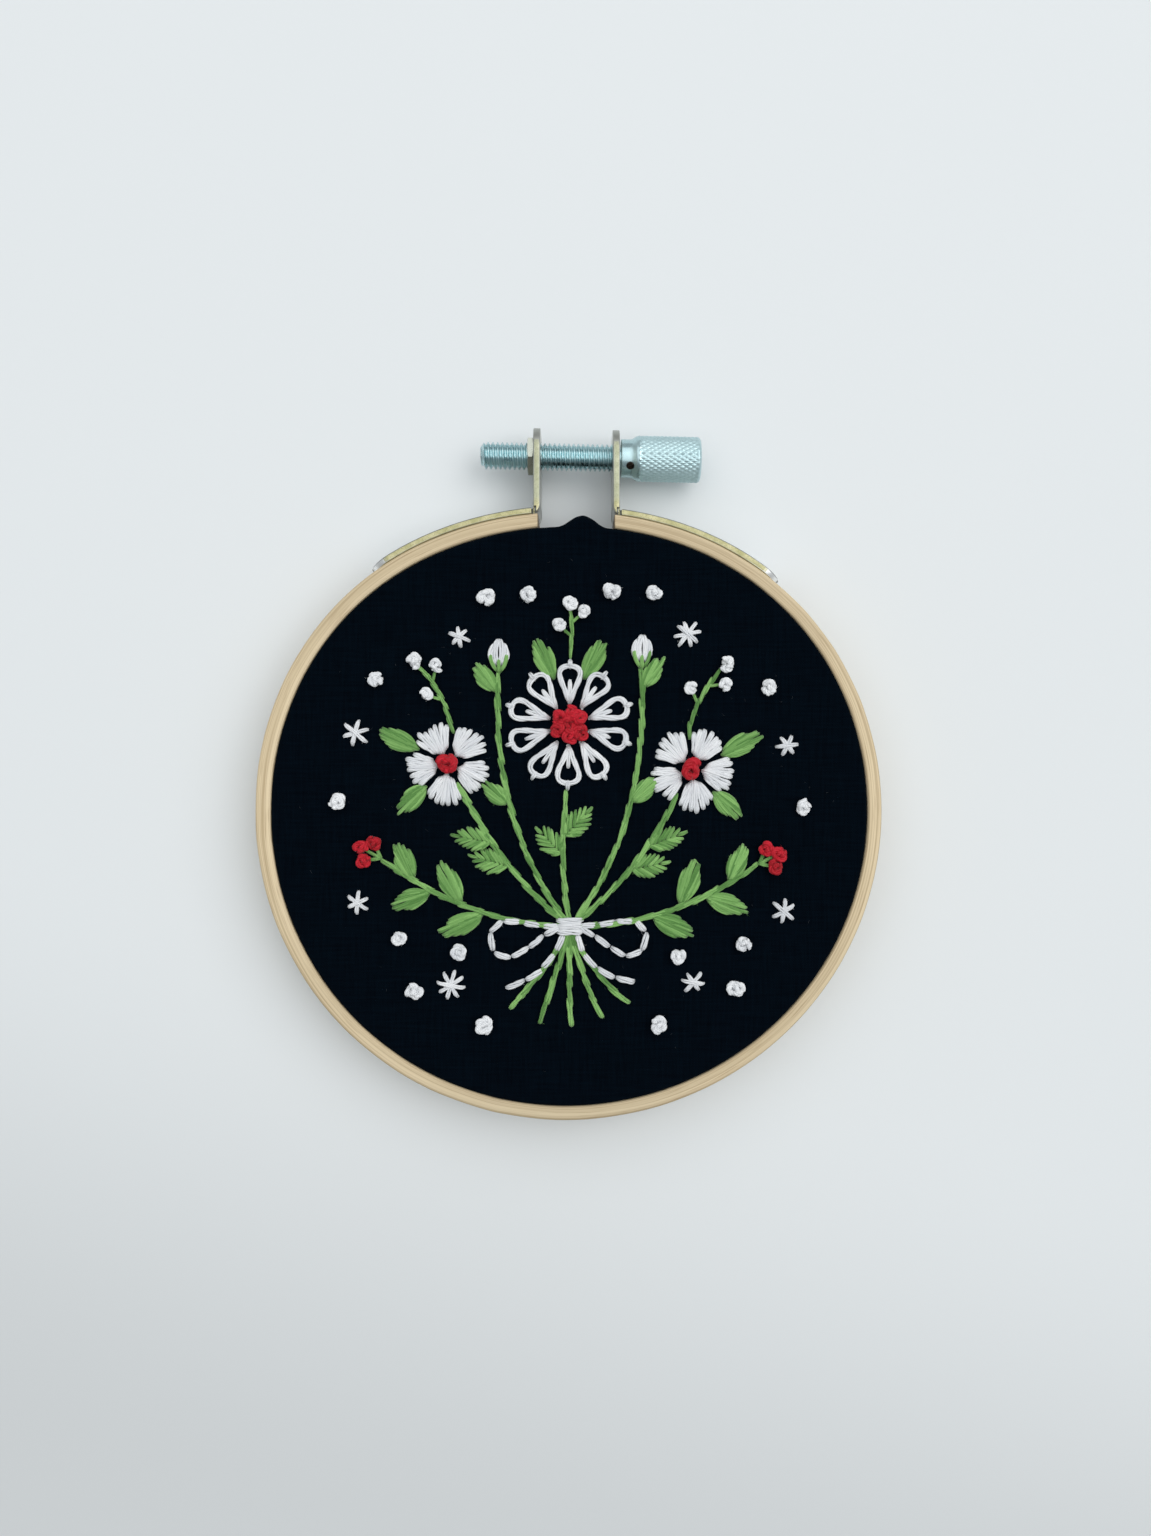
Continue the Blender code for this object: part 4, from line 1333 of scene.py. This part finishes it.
def sew_bow(white):
    """A bow of back stitches at the tie."""
    t = np.linspace(0, 1, 60)[:, None]
    for side, length in ((-1, 10.4), (1, 9.8)):
        along, across = axes(90 - side * 103)
        reach = length * np.sin(math.pi * t) ** 0.85
        swing = 2.5 * np.sin(FULL_TURN * t) * (0.7 + 0.5 * np.sin(math.pi * t))
        back_stitch(white, Line(TIE + (side * 1.3, 0) + reach * along + swing * across), 0.15)
        end = (side * 9.4 + 0.4, side * 0.4 - 25.4)
        back_stitch(white, bezier(TIE + (side * 0.9, -0.9), (side * 2.4, -24.2), end), 0.3)
    for y in (-0.8, 0.05, 0.85):
        white.straight(TIE + (-1.9, y), TIE + (1.9, y + 0.1), 0.9, 0.55, 0.4)


def sew_twigs(white, green):
    """Thin twigs with white knots between the flowers."""
    for start, control, end in (
        ((0.2, 21.2), (0.8, 25), (0.4, 28.8)),
        (LEFT_FLOWER + 4.3 * heading(82), (-17.4, 16.4), (-21.6, 20.6)),
        (RIGHT_FLOWER + 4.3 * heading(97), (17.8, 15.6), (22.4, 20.2)),
    ):
        line = bezier(start, control, end)
        stem_stitch(green, line, 0.6, 3.0)
        white.knot(line.at(line.length) + 0.6 * heading(line.degrees(line.length)), 2.2)
        for share, side in ((0.45, 1), (0.7, -1)):
            base = line.at(share * line.length)
            way = heading(line.degrees(share * line.length) + side * 48)
            green.straight(base, base + 1.9 * way, 0.5, 0.42, strands=3)
            white.knot(base + 2.4 * way, 1.9)


def sew_scatter(white):
    """Small stars, as (x, y, size, rays, turn), and white knots round the bouquet."""
    for x, y, size, rays, turn in (
        (-30.5, 10.8, 4.0, 3, 15), (-15.6, 24.6, 3.2, 3, 40), (17.2, 25.0, 4.1, 4, 10),
        (31.5, 9.0, 3.2, 3, 70), (-30.2, -13.6, 3.4, 3, 85), (31.0, -14.8, 4.0, 3, 20),
        (-16.8, -25.4, 4.1, 4, 30), (18.0, -25.0, 3.3, 3, 50),
    ):
        star(white, np.array([x, y]), size, rays, turn)
    for place in (
        (-11.6, 30.2), (12.4, 30.8), (-5.6, 30.6), (6.2, 31.0), (-27.4, 18.4), (28.8, 17.2),
        (-33.0, 1.0), (33.8, 0.2), (-24.2, -18.6), (25.2, -19.4), (-15.6, -20.6), (15.8, -21.2),
        (-22.0, -26.2), (24.0, -25.8), (-12.0, -31.0), (13.0, -31.0),
    ):
        white.knot(np.array(place), white.rng.uniform(2.0, 2.5))


def sew_front():
    white = Thread("stitches_white", 101)
    green = Thread("stitches_green_stems", 102)
    leaves = Thread("stitches_green_leaves", 105)
    red = Thread("stitches_red", 103)
    stems = sew_stems(green)
    sew_leaves(leaves, stems)
    sew_flowers(white, green, red, stems)
    sew_bow(white)
    sew_twigs(white, green)
    sew_scatter(white)
    return white, green, leaves, red


def sew_behind(name, seed, *fronts):
    """What shows on the back of the work: the thread carried between the stitches of the front."""
    back = Thread(name, seed)
    for front in fronts:
        for start, end in zip(front.holes[1:-1], front.holes[2:]):
            back.run_behind(start, end)
    return back


def sew_gathering():
    """A dark running thread that draws the turned-in margin together."""
    thread = Thread("gathering_thread", 106)
    inset = MARGIN_END - GATHERING_FROM_EDGE
    share = (inset - CLOTH_NEAR) / (MARGIN_END - CLOTH_NEAR)
    lift = 0.12 * np.sin(np.linspace(0, 1, 7) * math.pi)
    for k in range(MARGIN_PLEATS):
        turns = (k + np.linspace(0, 1.15, 7) / 2) * FULL_TURN / MARGIN_PLEATS
        z = np.maximum(gathers(turns, share) - 0.05 - lift, 0.22)
        path = polar(turns, rim_radius(turns, inset), z)
        thread.lay(path, polar(turns, 1, 0), GATHERING_WIDTH, BACK_HEIGHT, 3, 1.5, np.ones(7))
    return thread


def scatter_lint(white, near_count=90, far_count=60):
    """Specks of lint on the cloth, most of them near the stitches."""
    rng = np.random.default_rng(77)
    holes = np.array(white.holes)
    near = holes[rng.integers(0, len(holes), near_count)] + rng.normal(0, 1.6, (near_count, 2))
    angle = rng.uniform(0, FULL_TURN, far_count)
    radius = LINT_REACH * np.sqrt(rng.uniform(0, 1, far_count))
    flat = np.concatenate([near, np.stack([radius * np.cos(angle), radius * np.sin(angle)], axis=1)])
    flat = flat[np.hypot(*flat.T) < LINT_REACH + 0.5]
    lint = Thread("lint", 104)
    lint.fibres(with_height(flat, np.full(len(flat), FRONT + 0.02)), *LINT)
    return lint


def build_floor():
    corners = [(x * FLOOR_HALF, y * FLOOR_HALF, 0) for x, y in ((-1, -1), (1, -1), (1, 1), (-1, 1))]
    floor = make_object("floor", floor_material(), corners, np.array([[0, 1, 2, 3]]))


def add_to_scene(name, data, place):
    obj = bpy.data.objects.new(name, data)
    obj.location = place
    bpy.context.scene.collection.objects.link(obj)
    return obj


def build_camera():
    data = bpy.data.cameras.new("camera")
    data.lens = CAMERA_LENS
    data.sensor_width = CAMERA_SENSOR
    bpy.context.scene.camera = add_to_scene("camera", data, CAMERA_PLACE)


def build_light():
    """A pale room, brighter towards the top of the picture, and two soft lamps aimed at the origin."""
    world = bpy.data.worlds.new("room")
    world.use_nodes = True
    bpy.context.scene.world = world
    room = Nodes(world.node_tree)
    background = world.node_tree.nodes["Background"]
    towards_top = room.parts(room.node("TexCoord").outputs["Generated"])["Y"]
    share = room.spread(towards_top, -0.95, 0.25, curve="SMOOTHSTEP")
    room.feed(background.inputs["Color"], room.mix(share, ROOM_LOW, ROOM_HIGH))
    background.inputs["Strength"].default_value = ROOM_STRENGTH
    for name, (place, side, power, colour) in LAMPS.items():
        data = bpy.data.lights.new(name, "AREA")
        data.shape = "SQUARE"
        data.size = side
        data.energy = power
        data.color = colour
        light = add_to_scene(name, data, place)
        light.rotation_mode = "QUATERNION"
        light.rotation_quaternion = (-Vector(place)).to_track_quat("-Z", "Y")


def build_solids(holes):
    """The pieces that stand for the CAD's nodes, as node: (piece, slot)."""
    bamboo = bamboo_material("bamboo_sanded", (0.80, 0.665, 0.445), (0.47, 0.36, 0.21))
    bamboo_inside = bamboo_material("bamboo_inner", (0.68, 0.555, 0.365), (0.48, 0.37, 0.22))
    plated = bracket_material()
    return {
        "outer_hoop": (build_outer_hoop(bamboo), "bamboo"),
        "inner_hoop": (build_inner_hoop(bamboo_inside), "bamboo"),
        "cloth": (build_cloth(cotton_material(), holes), "cotton"),
        "bracket_left": (build_bracket("bracket_left_plate", -1, plated), "yellow_zinc"),
        "bracket_right": (build_bracket("bracket_right_plate", 1, plated), "yellow_zinc"),
        "nut": (build_nut(nut_material()), "yellow_zinc"),
        "thumb_screw": (build_thumb_screw(screw_material()), "blue_zinc"),
    }


def main():
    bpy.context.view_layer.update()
    white, green, leaves, red = sew_front()
    holes = np.array(white.holes + green.holes + leaves.holes + red.holes)
    for thread, count in ((white, 1100), (green, 260), (leaves, 520), (red, 60)):
        thread.fuzz(count)
    solids = build_solids(holes)
    for node, (piece, slot) in solids.items():
        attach(piece, "root")
        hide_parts(node)

    materials = {
        "floss_white": floss_material("floss_white", (0.70, 0.72, 0.75), (0.90, 0.91, 0.92), 0.3),
        "floss_green": floss_material("floss_green", (0.060, 0.19, 0.035), (0.31, 0.58, 0.18), 0.25),
        "floss_red": floss_material("floss_red", (0.30, 0.002, 0.006), (0.62, 0.012, 0.03), 0.15, 0.5),
        "cotton": floss_material("lint_grey", (0.02, 0.024, 0.03), (0.10, 0.11, 0.125), 0.1),
    }
    for thread, slot in (
        (white, "floss_white"),
        (green, "floss_green"),
        (leaves, "floss_green"),
        (red, "floss_red"),
        (scatter_lint(white), "cotton"),
        (sew_behind("back_white", 107, white), "floss_white"),
        (sew_behind("back_green", 108, green, leaves), "floss_green"),
        (sew_behind("back_red", 109, red), "floss_red"),
        (sew_gathering(), "cotton"),
    ):
        piece = thread.make(materials[slot])
        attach(piece, "root")
    build_floor()
    build_light()
    build_camera()
    bpy.context.scene.view_settings.view_transform = "Standard"


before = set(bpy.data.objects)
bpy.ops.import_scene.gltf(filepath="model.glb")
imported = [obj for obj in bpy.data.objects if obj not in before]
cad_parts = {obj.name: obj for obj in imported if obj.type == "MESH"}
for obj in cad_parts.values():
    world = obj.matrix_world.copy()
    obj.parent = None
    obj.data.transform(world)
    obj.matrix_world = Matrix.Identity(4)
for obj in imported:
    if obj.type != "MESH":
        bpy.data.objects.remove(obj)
main()
